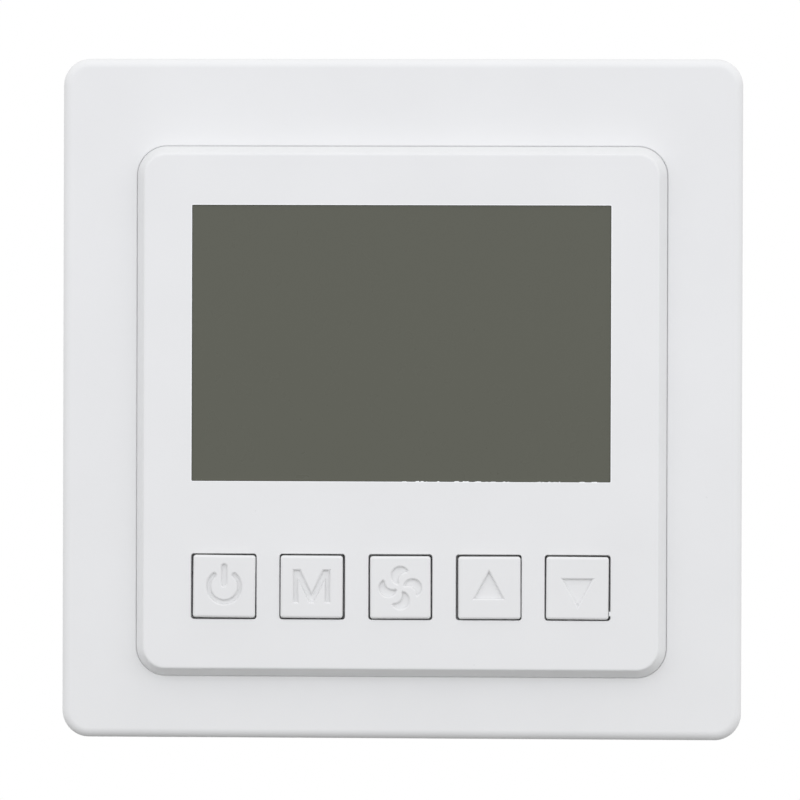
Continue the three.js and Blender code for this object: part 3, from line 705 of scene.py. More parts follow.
# ---- Front mouldings ----
def add_frame():
    e, panel = Extent("outer_frame"), Extent("centre_panel")
    inside = e.front - FRAME_SKIN
    profile = [*quarter_in(EDGE, e.back, 3), *quarter_out(FACE_EDGE, e.front, 12)]
    shell = block(*e.size, FACE_CORNER, profile, steps=20)
    hollow_w, hollow_h = e.width - 2 * SKIRT, e.height - 2 * SKIRT
    hollow = block(hollow_w, hollow_h, FACE_CORNER - SKIRT, [(0, -PAST), (0, inside)])
    panel_w, panel_h = panel.width - 2 * FLANGE_REACH, panel.height - 2 * FLANGE_REACH
    opening_h = panel_h + PARTING_TOP + PARTING_BOTTOM
    y = panel.y + (PARTING_TOP - PARTING_BOTTOM) / 2
    corner = PANEL_CORNER + PARTING_TOP
    opening_w = panel_w + 2 * PARTING_SIDE
    opening = hole(opening_w, opening_h, corner, 0, e.front, 0, y, FRAME_MOUTH, 20)
    cut(shell, hollow, opening)
    cut(shell, merged(vent_cutters(e, inside)), merged(notch_cutters(e)))
    pegs = [
        turned([(PEG_R - 0.5, PLATE), (PEG_R, PLATE + 0.9), (PEG_R, inside + 0.5)], x, y)
        for x, y in mirrored(hollow_w / 2 - PEG_INSET, hollow_h / 2 - PEG_DROP)
    ]
    joined(shell, *pegs, *panel_hooks(panel, inside))
    stand_in(tidied(shell), "outer_frame")


def vent_cutters(e, inside):
    """Slots with round ends through the top and bottom of the skirt."""
    front = inside - 0.5
    middle = (VENT_BACK + front) / 2
    steps = ((0, 0.7, -SKIRT - PAST), (0, 0.7, -0.2), (0.12, 0.76, -0.06))
    steps += ((0.4, 0.9, 0), (0.4, 0.9, PAST))
    made = []
    for i in range(VENTS):
        x = (i - (VENTS - 1) / 2) * VENT_PITCH
        for edge, outward in ((e.top, 1), (e.bottom, -1)):
            levels = []
            for wider, radius, out in steps:
                width, height = VENT_WIDTH + wider, front - VENT_BACK + wider
                levels.append((rounded(width, height, radius, x, middle, 6), edge + outward * out))
            made.append(loft(levels, upright))
    return made


def notch_cutters(e):
    """Two notches in the lower edge, for prying the front off."""
    low, high = e.bottom - PAST, e.bottom + SKIRT + PAST
    height = 2 * (NOTCH_HEIGHT + PAST)
    shapes = [rounded(NOTCH_WIDTH, height, 0.4, x, e.back - PAST, 5) for x in (-NOTCH_X, NOTCH_X)]
    return [bar(shape, low, high, upright) for shape in shapes]


def panel_hooks(panel, inside):
    """Snap hooks behind the panel's flange, with a slope that lets the flange pass."""
    lip_front = panel.front - FLANGE_BACK - HOOK_GAP
    lip_back = lip_front - HOOK_THICK
    root = inside + FRAME_SKIN / 2
    along = (VENTS * VENT_PITCH + HOOK_WIDTH) / 2

    def hook(edge, sign, at, lay):
        """A section in (away from the panel, depth), run along the panel's side."""
        wall, tip = edge + sign * HOOK_GAP, edge - sign * HOOK_REACH
        far = wall + sign * HOOK_THICK
        section = [(far, lip_back), (far, root), (wall, root), (wall, lip_front)]
        section += [(tip, lip_front), (tip, lip_front - 0.4), (wall, lip_back)]
        return bar(section, at - HOOK_WIDTH / 2, at + HOOK_WIDTH / 2, lay)

    hooks = []
    for sign, x, y in ((1, panel.right, panel.top), (-1, panel.left, panel.bottom)):
        hooks.append(hook(x, sign, panel.y, upright))
        hooks += [hook(y, sign, side * along, across) for side in (1, -1)]
    return hooks


def window_place():
    """The window's width, height and middle."""
    glass = Extent("display_glass")
    left, right, bottom, top = GLASS_LAPS
    width, height = glass.width - left - right, glass.height - bottom - top
    return width, height, glass.x + (left - right) / 2, glass.y + (bottom - top) / 2


def add_panel():
    e, glass = Extent("centre_panel"), Extent("display_glass")
    foot, back, inside = Extent("outer_frame").front, e.front - FLANGE_BACK, e.front - PANEL_SKIN
    width, height = e.width - 2 * FLANGE_REACH, e.height - 2 * FLANGE_REACH
    shoulder = (0.36 * PANEL_SLOPE, foot + 0.46 * (e.front - foot))
    bevel = eased((0.0, foot), shoulder, (PANEL_SLOPE - 0.1, e.front - 0.1), 10)
    crown = eased(bevel[-1], (PANEL_SLOPE, e.front), (PANEL_SLOPE + 0.2, e.front), 4)
    profile = [(0, back), *bevel, *crown[1:]]
    shell = block(width, height, PANEL_CORNER, profile, *e.middle, 24)
    flange_corner = PANEL_CORNER + FLANGE_REACH
    joined(shell, slab(*e.size, flange_corner, back, back + FLANGE_THICK, *e.middle))
    tray_w, tray_h = width - 2 * PANEL_WALL, height - 2 * PANEL_WALL
    tray_profile = [(0, back - PAST), (0, inside)]
    tray = block(tray_w, tray_h, PANEL_CORNER - PANEL_WALL, tray_profile, *e.middle)
    window_w, window_h, wx, wy = window_place()
    window = hole(window_w, window_h, WINDOW_CORNER, 0, e.front, wx, wy, mouth=0.12)
    pocket_w, pocket_h = glass.width + GLASS_ROOM, glass.height + GLASS_ROOM
    pocket = block(pocket_w, pocket_h, 0.3, [(0, 0), (0, e.front - LIP)], *glass.middle)
    cut(shell, tray, window, pocket)
    openings = []
    for name, _, shift, loss, *_ in KEYS:
        x, y = Extent(f"{name}_key").middle
        size = KEY_OPENING - loss, KEY_OPENING, KEY_OPENING_CORNER
        openings.append(hole(*size, 0, e.front, x + shift, y, mouth=0.13))
    cut(shell, merged(openings))
    places = [screw.middle for screw in extents(BOARD_SCREWS)]
    joined(shell, *[rod(BOSS_R, e.back, inside + 1, *place) for place in places])
    bore = near(e.back, (PILOT_R + 0.5, -PAST), (PILOT_R, 0.5), (PILOT_R, 4))
    cut(shell, merged([turned(bore, *place) for place in places]))
    stand_in(tidied(shell), "centre_panel")


# ---- Icons: outlines about a key's middle ----
def power_icon():
    ring_r, stroke, gap = 1.95, 0.6, math.radians(41)
    half = stroke / 2
    start, end = QUARTER + gap, QUARTER + math.tau - gap
    first, last = polar(0, 0, ring_r, start), polar(0, 0, ring_r, end)
    ring = arc(0, 0, ring_r + half, start, end, 60)
    ring += arc(*last, half, end, end + math.pi, 8)[1:]
    ring += arc(0, 0, ring_r - half, end, start, 60)[1:]
    ring += arc(*first, half, start + math.pi, start + math.tau, 8)[1:-1]
    return [ring, rounded(0.76, 2.9, 0.37, 0, 1.45, 6)]


def mode_icon():
    half, top, bottom, stroke = 2.33, 2.2, -1.9, 0.62
    right = [(0, bottom + 1.75 * stroke), (half - 1.45 * stroke, top), (half, top), (half, bottom)]
    inner = [(half - stroke, bottom), (half - stroke, top - 1.9 * stroke), (0.5 * stroke, bottom)]
    side = [*right, *inner]
    return [[*[(-x, y) for x, y in side[:0:-1]], *side][::-1]]


def fan_icon():
    blade = crescent((0.0, 1.55), 1.17, (0.8, 0.95), 1.02)
    return [moved(blade, 0, 0, QUARTER * turn) for turn in range(4)]


def crescent(disc, disc_r, bite, bite_r):
    """What is left of a disc when another is taken out of it, with its two tips trimmed."""
    trim, steps = 0.22, 16
    (ax, ay), (bx, by) = disc, bite
    gap = math.hypot(bx - ax, by - ay)
    along = (disc_r**2 - bite_r**2 + gap**2) / (2 * gap)
    aside = math.sqrt(disc_r**2 - along**2)
    way = math.atan2(by - ay, bx - ax)
    half = math.atan2(aside, along) + trim
    outer = arc(ax, ay, disc_r, way + half, way + math.tau - half, 2 * steps)
    inner_half = math.atan2(aside, gap - along) - trim * disc_r / bite_r
    back = way + math.pi
    inner = arc(bx, by, bite_r, back + inner_half, back - inner_half, steps)
    return [*outer, *inner]


def up_icon():
    return [[(-1.98, -1.34), (1.84, -1.34), (-0.04, 2.24)]]


def down_icon():
    return [[(2.01, 1.25), (-1.98, 1.25), (0.08, -2.36)]]


# Each key with its icon, its opening's shift in x and loss of width, and how the cap sits in it:
# shift in x and y, and turn in degrees.
KEYS = [
    ("power", power_icon, 0.12, 0.0, 0.07, 0.03, -0.45),
    ("mode", mode_icon, 0.1, 0.0, -0.075, 0.01, -0.15),
    ("fan", fan_icon, 0.02, 0.22, 0.0, -0.02, 0.2),
    ("up", up_icon, -0.05, 0.0, 0.09, -0.02, 0.15),
    ("down", down_icon, -0.07, 0.0, -0.02, -0.01, -0.3),
]
KEY_NAMES = [name for name, *_ in KEYS]
DOWN_SHIFT = KEYS[-1][2]


def engraving(outline, front):
    """A cutter whose walls lean a little and whose rim is soft."""
    floor = near(front - ICON_DEPTH, (-0.12, 0), (-0.1, 0.03))
    rim = near(front, (-0.07, -0.19), (-0.02, -0.12), (0.05, -0.05), (0.13, 0), (0.13, PAST))
    outline = moved(outline, 0, -ICON_DROP)
    return loft([(grown(outline, reach), z) for reach, z in (*floor, *rim)])


def add_key(name, icon, opening_x, loss, shift_x, shift_y, turn):
    e, panel = Extent(f"{name}_key"), Extent("centre_panel")
    profile = [(0, e.back), *quarter_out(CAP_EDGE, e.front, 8)]
    cap = block(KEY_CAP - loss, KEY_CAP + CAP_DROP, CAP_CORNER, profile, 0, -CAP_DROP / 2)
    flange_depths = e.back, panel.front - CAP_FLANGE_FRONT
    joined(cap, slab(e.width, e.width, KEY_OPENING_CORNER, *flange_depths, edge=0.08))
    side, floor = KEY_CAP - 2 * CAP_WALL, e.front - ICON_DEPTH - CAP_WALL
    cut(cap, block(side, side, CAP_CORNER, [(0, e.back - PAST), (0, floor)]))
    joined(cap, rod(1.2, e.back, floor + 0.5))
    for outline in icon():
        cut(cap, engraving(outline, e.front))
    placed(tidied(cap), e.x + opening_x + shift_x, e.y + shift_y, math.radians(turn))
    stand_in(cap, f"{name}_key")


def add_display():
    e, panel = Extent("display_glass"), Extent("centre_panel")
    shoulder = panel.front - LIP - 0.1
    window_w, window_h, wx, wy = window_place()
    glass = slab(*e.size, 0.3, e.back, shoulder, *e.middle, 0.08, 3)
    profile = [(0, shoulder - 0.2), *near(panel.front - DISPLAY_SINK, (0, -0.03), (0.03, 0))]
    sheet = block(window_w - 0.06, window_h - 0.06, WINDOW_CORNER - 0.02, profile, wx, wy, 4)
    stand_in(joined(glass, sheet), "display_glass")


def add_window_rim():
    """The lip's edge in a lighter white, a painted highlight, with the thin ragged burr the cutter
    left at the lower right and a bit of flash in the gap beside the down key, which take the same
    lighter white."""
    front = Extent("centre_panel").front
    window_w, window_h, wx, wy = window_place()
    size = window_w + 2 * RIM_WIDTH, window_h + 2 * RIM_WIDTH, WINDOW_CORNER + RIM_WIDTH
    rim = block(*size, near(front, (0, -0.1), (0, 0.004), (0.03, 0.008)), wx, wy)
    cut(rim, hole(window_w, window_h, WINDOW_CORNER, 0, front + 0.008, wx, wy, mouth=0.02))
    bottom = wy - window_h / 2
    shapes = [rim]
    rng = random.Random(7)
    x = wx - 0.5
    while x < wx + window_w / 2 - 0.6:
        length = rng.uniform(0.25, 1.3)
        reach = rng.uniform(0.04, 0.12)
        if rng.random() < 0.6:
            shares = (0.75, 0.5, 0.25)
            tips = [(x + length * t, bottom + reach * rng.uniform(0.45, 1.0)) for t in shares]
            outline = [(x, bottom - 0.05), (x + length, bottom - 0.05), *tips]
            shapes.append(bar(outline, front - 0.11, front - 0.02))
        x += length * rng.uniform(0.9, 1.5)
    key = Extent("down_key")
    wall, low = key.x + DOWN_SHIFT + KEY_OPENING / 2, key.y - KEY_OPENING / 2
    flash = [(0.1, 0.56), (0.1, 1.2), (-0.16, 1.15), (-0.2, 1.02)]
    flash += [(-0.15, 0.9), (-0.19, 0.76), (-0.17, 0.62)]
    outline = moved(flash, wall, low)
    levels = [(outline, front - 0.4), (outline, front - 0.08)]
    shapes.append(loft([*levels, (grown(outline, -0.02), front - 0.05)]))
    # rim, burr and flash get the lighter white, painted as a highlight
    detail(merged(shapes), "window_rim", "centre_panel", "white_plastic", "painted_highlight_white")


# ---- Screws ----
def threaded(radius, back, front, pitch, depth, sides=20):
    """A shank along z with a helical thread that fades out at both ends."""
    count = max(int((front - back) / pitch * 6), 8)
    levels = []
    for i in range(count + 1):
        z = back + (front - back) * i / count
        fade = max(0.0, min(1.0, 1.2 * (z - back) / pitch, 1.2 * (front - z) / pitch))
        ring = []
        for j in range(sides):
            phase = (z / pitch - j / sides) % 1.0
            crest = min(1.0, 1.4 * (1 - abs(2 * phase - 1)))
            ring.append(polar(0, 0, radius - depth + depth * fade * crest, math.tau * j / sides))
        levels.append((ring, z))
    return loft(levels)


def cross(length, width):
    a, b = length / 2, width / 2
    quarter = [(a, -b), (a, b), (b, b)]
    return [point for turn in range(4) for point in moved(quarter, 0, 0, QUARTER * turn)]


def cross_recess(head_r, face, inward):
    """A tapered cross recess; inward is -1 when the head lies below the face, 1 when above."""
    deep = 0.45 * head_r
    steps = (
        (0.5, 0.14, inward * deep),
        (0.95, 0.24, inward * 0.5 * deep),
        (1.15, 0.3, 0.0),
        (1.25, 0.34, -inward * PAST),
    )
    return loft([(cross(length * head_r, width * head_r), face + z) for length, width, z in steps])


def pan_head(radius, foot, face):
    """A head that rises from foot to face, either way along z, and is domed towards the face."""
    rise = face - foot
    shares = ((0.985, 0.0), (1.0, 0.06), (1.0, 0.42), (0.97, 0.6))
    shares += ((0.88, 0.78), (0.72, 0.9), (0.5, 0.97), (0.0, 1.0))
    return turned([(radius * r, foot + rise * z) for r, z in shares], sides=40)


def add_screws():
    e = Extent("box_screw_left")
    foot = Extent("mounting_plate").front - PLATE_RIM_RISE + 0.1
    head = cut(pan_head(BOX_HEAD_R, foot, e.front), cross_recess(BOX_HEAD_R, e.front, -1))
    shank = threaded(BOX_SHANK_R, e.back + 0.02, foot + 0.8, 0.8, 0.32, 24)
    at_each(tidied(joined(head, shank)), ["box_screw_left", "box_screw_right"])

    e = Extent("board_screw_1")
    r, foot = e.width / 2, e.back + BOARD_HEAD
    head = cut(pan_head(r, foot, e.back), cross_recess(r, e.back, 1))
    shank = threaded(BOARD_SHANK_R, foot - 0.3, e.front, 0.8, 0.28, 16)
    at_each(tidied(joined(head, shank)), BOARD_SCREWS)

    e = Extent("terminal_screw_1")
    r, foot = e.width / 2, e.back + TERMINAL_HEAD
    head = turned([(r - 0.25, e.back), (r, e.back + 0.25), (r, foot - 0.1), (r - 0.1, foot)])
    slot = near(e.back, (-0.06, -PAST), (-0.06, 0), (0, 0.08), (0, 0.7))
    cut(head, block(2 * r + 2, 0.6, 0.02, slot, steps=1))
    shank = threaded(TERMINAL_SHANK_R, foot - 0.6, e.front, 0.5, 0.2)
    at_each(tidied(joined(head, shank)), TERMINAL_SCREWS)


# ---- Mounting plate and rear housing ----
def add_mounting_plate():
    e, housing = Extent("mounting_plate"), Extent("rear_housing")
    foot, rim_front = PLATE, e.front - PLATE_RIM_RISE + 1.6
    shell = slab(*e.size, 1.5, 0, rim_front, steps=6)
    inner = e.width - 3.0
    cut(shell, hole(inner, inner, 0.6, foot, rim_front, mouth=0.3))
    rib = 0.3, foot - 0.5, foot + 0.9
    ribs = [slab(1.0, 9.5, *rib, x, y, 0.2) for x in (-14, 0, 14) for y in (30.5, -30.5)]
    ribs += [slab(9.5, 1.0, *rib, x, y, 0.2) for x in (30.5, -30.5) for y in (-16, 16)]
    washers = []
    for x in (-EAR_X, EAR_X):
        ring = slab(11.4, 14.6, 5.0, foot - 0.5, foot + 0.5, x, 0, 0.2)
        washers.append(cut(ring, slab(8.8, 12.2, 4.2, -1, foot + 2, x, 0, 0.1)))
    outer = housing.width - 3.5
    collar = slab(outer, outer, 1.2, -5.0, foot - 0.2, edge=0.25)
    corner = outer / 2 - 1.5
    legs = [
        brick(3, 3, e.back, foot - 0.2, x, y, 0.25, 0.4) for x, y in mirrored(corner, corner)
    ]
    sockets = [rod(2.65, 0.5, e.front, x, y, 0.2) for x, y in mirrored(SOCKET_X, SOCKET_Y)]
    joined(shell, *ribs, *washers, collar, *sockets)
    through = slab(outer - 3, outer - 3, 0.8, -7, foot + 2)
    seat = slab(housing.width + 0.4, housing.height + 0.4, 2.2, -2, 0.4)
    cut(seat, slab(outer, outer, 1.2, -3, 2, edge=0.02))
    slots = [block(4.3, 8, 2.15, flared(-PAST, foot, 0.3), x, 0) for x in (-EAR_X, EAR_X)]
    bore = [(2.2, -PAST), (2.2, 0.3), (1.95, 0.6)]
    bore += near(e.front, (1.95, -0.4), (2.4, 0.05), (2.4, PAST))
    bores = [turned(bore, x, y) for x, y in mirrored(SOCKET_X, SOCKET_Y)]
    knockouts = [
        cut(rod(3.0, foot - 0.5, foot + 1, x, y), rod(2.6, foot - 1, foot + 2, x, y))
        for x, y in mirrored(-24, 33)
    ]
    arrow = [(-1.6, 33.2), (1.6, 33.2), (0, 36.4)], [(-1.8, 33.1), (1.8, 33.1), (0, 36.7)]
    arrow = loft([(arrow[0], foot - 0.25), (arrow[1], foot + PAST)])
    cut(shell, through, seat, merged(slots), merged(bores), merged(knockouts), arrow)
    joined(shell, *legs)
    tabs = []
    for sign in (1, -1):
        shape = ((-1.0, -2.0), (1.0, -2.0), (1.0, -2.3), (-0.1, -3.2), (-1.0, -3.2))
        tabs.append(bar([(sign * outer / 2 + sign * out, z) for out, z in shape], -4, 4, upright))
    joined(shell, *tabs)
    stand_in(tidied(shell), "mounting_plate")


def add_rear_housing():
    e, terminals = Extent("rear_housing"), Extent("terminal_block")
    inside = e.back + HOUSING_WALL
    profile = [*quarter_in(0.8, e.back, 6), *near(e.front, (0.0, -0.1), (0.1, 0))]
    shell = block(*e.size, 2.0, profile, steps=12)
    hollow = e.width - 2 * HOUSING_WALL
    cut(shell, block(hollow, hollow, 0.6, [(0.3, inside), *flared(inside + 0.3, e.front, 0.3)]))
    notch_top = terminals.top + 0.15
    notch_h = notch_top - e.bottom + PAST
    depths = e.back - PAST, terminals.front + 0.3
    notch_y = notch_top - notch_h / 2
    notch = sharp(terminals.width + 0.3, notch_h, *depths, 0, notch_y)

    def along_sides(outline, spans):
        """Cutters along y in both side walls, with the outline drawn about a wall's face."""
        sections = [moved(outline, wall, 0) for wall in (e.width / 2, -e.width / 2)]
        return merged([bar(each, *span, upright) for each in sections for span in spans])

    windows = along_sides(rounded(3.0, 1.6, 0.3, 0, -2.6, 4), [(-4.2, 4.2)])
    vent = [*near(e.back, (-0.25, -PAST), (-0.25, 0), (0, 0.25)), (0, inside + PAST)]
    vents = [block(1.3, 13, 0.64, vent, x * 3.0, -3.2) for x in range(-6, 7)]
    field = block(30, 9, 1.0, near(e.back, (-0.15, -PAST), (-0.15, 0), (0, 0.3)), 0, 15.5)
    spans = [(y - 0.4, y + 0.4) for y in range(-9, 10, 2)]
    grips = along_sides(rounded(1.0, 9, 0.45, 0, -18, 4), spans)
    cut(shell, notch, windows, merged(vents), field, grips)
    rail_x, rail_y = (hollow - 1.5) / 2 + 0.1, (hollow - 5) / 2 + 0.05
    rail = 1.7, 5, e.back + 0.8, -13.7
    joined(shell, *[brick(*rail, x, y, 0.1, 0.15) for x, y in mirrored(rail_x, rail_y)])
    stand_in(tidied(shell), "rear_housing")


# ---- Terminals ----
def add_terminals():
    e, cage = Extent("terminal_block"), Extent("terminal_cage_1")
    screws = extents(TERMINAL_SCREWS)
    pitch = e.width / 6
    chamber_w = cage.width + 0.4
    profile = [*quarter_in(0.25, e.back, 3), *quarter_out(0.15, e.front, 3)]
    shell = block(*e.size, 0.3, profile, *e.middle, 4)
    cutters = []
    for s in screws:
        ledge = s.back + TERMINAL_HEAD + 0.1
        bore = near(e.back, (2.6, -PAST), (2.6, 0), (2.2, 0.5))
        bore += near(ledge, (2.2, 0), (1.45, 0.02), (1.45, 1.4))
        cutters.append(turned(bore, *s.middle))
        top = cage.top + 0.2
        mouth_back, mouth_front = ledge + 0.8, cage.front + 0.2
        height, middle = mouth_front - mouth_back, (mouth_back + mouth_front) / 2
        wide = rounded(chamber_w + 0.5, height + 0.5, 0.5, s.x, middle, 3)
        narrow = rounded(chamber_w, height, 0.25, s.x, middle, 3)
        ends = [(wide, e.bottom - PAST), (wide, e.bottom), (narrow, e.bottom + 0.6), (narrow, top)]
        cutters.append(loft(ends, upright))
        slot_top = top + 0.8
        slot = cage.width - 1.6, slot_top - s.y, cage.back + 0.8, e.front + PAST
        cutters.append(sharp(*slot, s.x, (s.y + slot_top) / 2))
    groove = 0.5, 14, e.back - PAST, e.back + 0.35
    grooves = [sharp(*groove, e.left + pitch * n, e.y) for n in range(1, 6)]
    for cutter in cutters:
        cut(shell, cutter)
    cut(shell, merged(grooves))
    stand_in(tidied(shell), "terminal_block")

    loop = brick(*cage.size, *cage.depths, edge=0.25, radius=0.3)
    inner = cage.width - 1.6, cage.height + 2, cage.back + 1, cage.front - 1
    mouth = brick(*inner, edge=0.3, radius=0.32)
    bore = turned(near(cage.back, (1.7, -PAST), (1.7, 0), (1.45, 0.2), (1.45, 1.5)))
    teeth = []
    for y in (-1.6, -0.8, 0, 0.8, 1.6):
        outline = [(y + u, cage.front - 1 + v - 0.1) for u, v in TOOTH]
        teeth.append(bar(outline, -chamber_w, chamber_w, across))
    seam = sharp(0.12, cage.height + 2, cage.front - 0.5, cage.front + PAST)
    cut(loop, mouth, bore, seam)
    for tooth in teeth:
        tooth.data.transform(Matrix.Scale(0.35, 4, (1, 0, 0)))
        cut(loop, tooth)
    at_each(tidied(loop), numbered("terminal_cage", 6))


# ---- Copper tracks ----
def offset_line(points, reach):
    """The line alongside a path of points, reach to its left, with mitred turns."""
    normals = []
    for (ax, ay), (bx, by) in zip(points, points[1:]):
        length = math.hypot(bx - ax, by - ay)
        normals.append((-(by - ay) / length, (bx - ax) / length))
    made = []
    for i, (x, y) in enumerate(points):
        before, after = normals[max(i - 1, 0)], normals[min(i, len(normals) - 1)]
        mx, my = before[0] + after[0], before[1] + after[1]
        share = reach * 2 / (mx * mx + my * my)
        made.append((x + mx * share, y + my * share))
    return made


def random_path(rng, area):
    """A path that starts along an axis, turns by 45 degrees and turns again."""
    left, bottom, right, top = area
    x, y = rng.uniform(left, right), rng.uniform(bottom, top)
    way = rng.randrange(0, 8, 2)
    path = [(x, y)]
    for _ in range(rng.randint(2, 4)):
        reach = rng.uniform(2.0, 7.0) if way % 2 == 0 else rng.uniform(1.2, 3.5)
        x, y = polar(x, y, reach, way * QUARTER / 2)
        path.append((x, y))
        way += rng.choice((-1, 1)) if way % 2 == 0 else rng.choice((-1, 1, 1))
    return path


def within(x, y, area):
    left, bottom, right, top = area
    return left < x < right and bottom < y < top


def track_group(rng, area, face, side, keep_out=(), tries=260):
    """Bundles of tracks that stand a little proud of a face and never cross, with a via at each
    end."""
    used, made = set(), []
    low, high = sorted((face - side * SINK, face + side * TRACK_RISE))
    for _ in range(tries):
        path = random_path(rng, area)
        lines = rng.choice((1, 1, 2, 2, 3, 4))
        bundle = [offset_line(path, (k - (lines - 1) / 2) * TRACK_PITCH) for k in range(lines)]
        cells, clear = set(), True
        for line in bundle:
            for (ax, ay), (bx, by) in zip(line, line[1:]):
                count = int(math.hypot(bx - ax, by - ay) / (TRACK_PITCH / 3)) + 1
                for i in range(count + 1):
                    x, y = ax + (bx - ax) * i / count, ay + (by - ay) * i / count
                    clear &= within(x, y, area) and not any(within(x, y, k) for k in keep_out)
                    cells.add((round(x / TRACK_PITCH), round(y / TRACK_PITCH)))
        steps = (-1, 0, 1)
        touched = {(cx + dx, cy + dy) for cx, cy in cells for dx in steps for dy in steps}
        if not clear or touched & used:
            continue
        used |= cells
        for line in bundle:
            right, left = (offset_line(line, reach * TRACK_WIDTH / 2) for reach in (-1, 1))
            made.append(bar([*right, *left[::-1]], low, high))
            made += [via(x, y, face, side) for x, y in (line[0], line[-1])]
    return merged(made)


def via(x, y, face, side):
    rise = side * TRACK_RISE
    steps = ((0.27, -side * SINK), (0.26, rise * 1.2), (0.14, rise * 1.2), (0.1, rise * 0.3))
    return turned(near(face, *steps), x, y, 10)


def solder(x, y, face, side, radius=0.75):
    """A joint round a pin, on a board's face; side is 1 where it stands out of the wall."""
    steps = ((1, -0.05), (0.95, 0.08), (0.55, 0.35), (0.4, 0.75), (0.2, 0.85))
    return turned([(radius * share, face + side * z) for share, z in steps], x, y, 14)


def pin(x, y, back, front, radius=0.3):
    return rod(radius, back, front, x, y, sides=10)


def add_tracks(board, groups):
    detail(merged(groups), f"{board}_tracks", board, "green_laminate", "copper_under_mask")


def add_chips(name, board, parts, slot="black_plastic", finish=None):
    bodies, ends = parts
    detail(bodies, f"{name}_chips", board, slot, finish)
    detail(ends, f"{name}_chip_ends", board, "tin_plate")


def small_parts(rng, count, area, face, side, keep_out, spaced=()):
    """Surface-mounted resistors, capacitors and diodes, set out at random but clear of each
    other."""
    left, bottom, right, top = area
    taken = [(x, y, 0.9) for x, y in spaced]
    bodies, ends = [], []
    for _ in range(CHIP_TRIES):
        if len(bodies) == count:
            break
        x, y = rng.uniform(left, right), rng.uniform(bottom, top)
        length, width, height = rng.choice(CHIPS)
        reach = length / 2 + 0.4
        spots = ((x0 - reach, y0 - reach, x1 + reach, y1 + reach) for x0, y0, x1, y1 in keep_out)
        if any(within(x, y, spot) for spot in spots):
            continue
        if any(math.hypot(x - tx, y - ty) < reach + tr for tx, ty, tr in taken):
            continue
        taken.append((x, y, reach))
        turn = -1 if rng.random() < 0.5 else 1  # -1 swaps a chip's two sides
        depths = sorted((face, face + side * height))
        bodies.append(brick(*(length * 0.62, width)[::turn], *depths, x, y, 0.05, 0.06))
        for end in (1, -1):
            dx, dy = (end * length * 0.4, 0)[::turn]
            size = (length * 0.2, width - 0.04)[::turn]
            ends.append(brick(*size, *depths, x + dx, y + dy, 0.04, 0.05))
    return merged(bodies), merged(ends)


# ---- Power board ----
def power_pins():
    """The places of the pins of every part on the power board."""
    relays = extents(numbered("relay", 4))
    pins = [(r.x + dx, r.y + dy) for r in relays for dx, dy in RELAY_PINS]
    t, c, f, v = extents(("transformer", "capacitor", "fuse", "varistor"))
    sides = (TRANSFORMER_PIN_X, -TRANSFORMER_PIN_X)
    pins += [(t.x + dx, t.y + dy) for dx in sides for dy in (-3.8, 0, 3.8)]
    pins += [(c.x, c.y - CAPACITOR_LEG), (c.x, c.y + CAPACITOR_LEG)]
    pins += [(f.left + FUSE_LEG, f.y), (f.right - FUSE_LEG, f.y)]
    return [*pins, (v.x - VARISTOR_LEG, v.y), (v.x + VARISTOR_LEG, v.y)]


def add_power_board():
    e, cage = Extent("power_board"), Extent("terminal_cage_1")
    screws = extents(TERMINAL_SCREWS)
    front, back = e.front, e.front - LAMINATE
    board = slab(46, 46, 0.4, back, front, edge=0.06)
    drill = 0.45, back - PAST, front + PAST
    cut(board, merged([rod(*drill, x, y, sides=16) for x, y in mirrored(19.2, 20.6)]))
    stand_in(board, "power_board")
    pins = power_pins()
    every = [*pins, *((s.x, TERMINAL_PIN_Y) for s in screws)]
    header = [(x, HEADER_Y) for x in pin_columns(0)]
    for name, shapes in (
        ("power_board_solder", [solder(x, y, front, 1) for x, y in every]),
        ("header_solder", [solder(x, y, back, -1, 0.6) for x, y in header]),
        ("power_board_pins", [pin(x, y, back - 0.3, front + 0.5) for x, y in pins]),
    ):
        detail(merged(shapes), name, "power_board", "tin_plate")

    width, low, high = cage.width - 2.0, cage.bottom, cage.top + 1.0
    depths = e.back, e.back + 0.8
    strips = []
    for s in screws:
        tongue = brick(width, high - low, *depths, s.x, (low + high) / 2, 0.12, 0.15)
        riser = brick(width, 0.8, e.back, back + 0.4, s.x, high - 0.4, 0.12, 0.15)
        strips.append(tidied(joined(tongue, riser)))
    detail(merged(strips), "contact_tongues", "power_board", "tin_plate")

    rng = random.Random(11)
    groups = [track_group(rng, POWER_TRACKS, front, 1)]
    groups.append(track_group(rng, POWER_TRACKS_BACK, back, -1))
    add_tracks("power_board", groups)
    parts = small_parts(rng, 26, POWER_CHIPS, front, 1, [POWER_HEADER], every)
    add_chips("power_board", "power_board", parts)


def add_relays():
    e = Extent("relay_1")
    w, h = e.size
    profile = near(e.back, (0.5, 0), (0.28, 0.08), (0.08, 0.28), (0, 0.6))
    profile += near(e.front, (0, -1.35), (0.12, -1.3), (0.12, -1.15), (0, -1.1))
    profile += near(e.front, (0, -0.05), (0.05, 0))
    body = block(w, h, 0.8, profile, steps=6)
    dimple = rod(0.7, e.back - PAST, e.back + 0.3, w / 2 - 2, h / 2 - 2, sides=24)
    panel = block(w - 2.4, h - 6, 0.6, near(e.back, (-0.1, -PAST), (-0.1, 0), (0, 0.12)), 0, -1.5)
    at_each(tidied(cut(body, dimple, panel)), numbered("relay", 4))


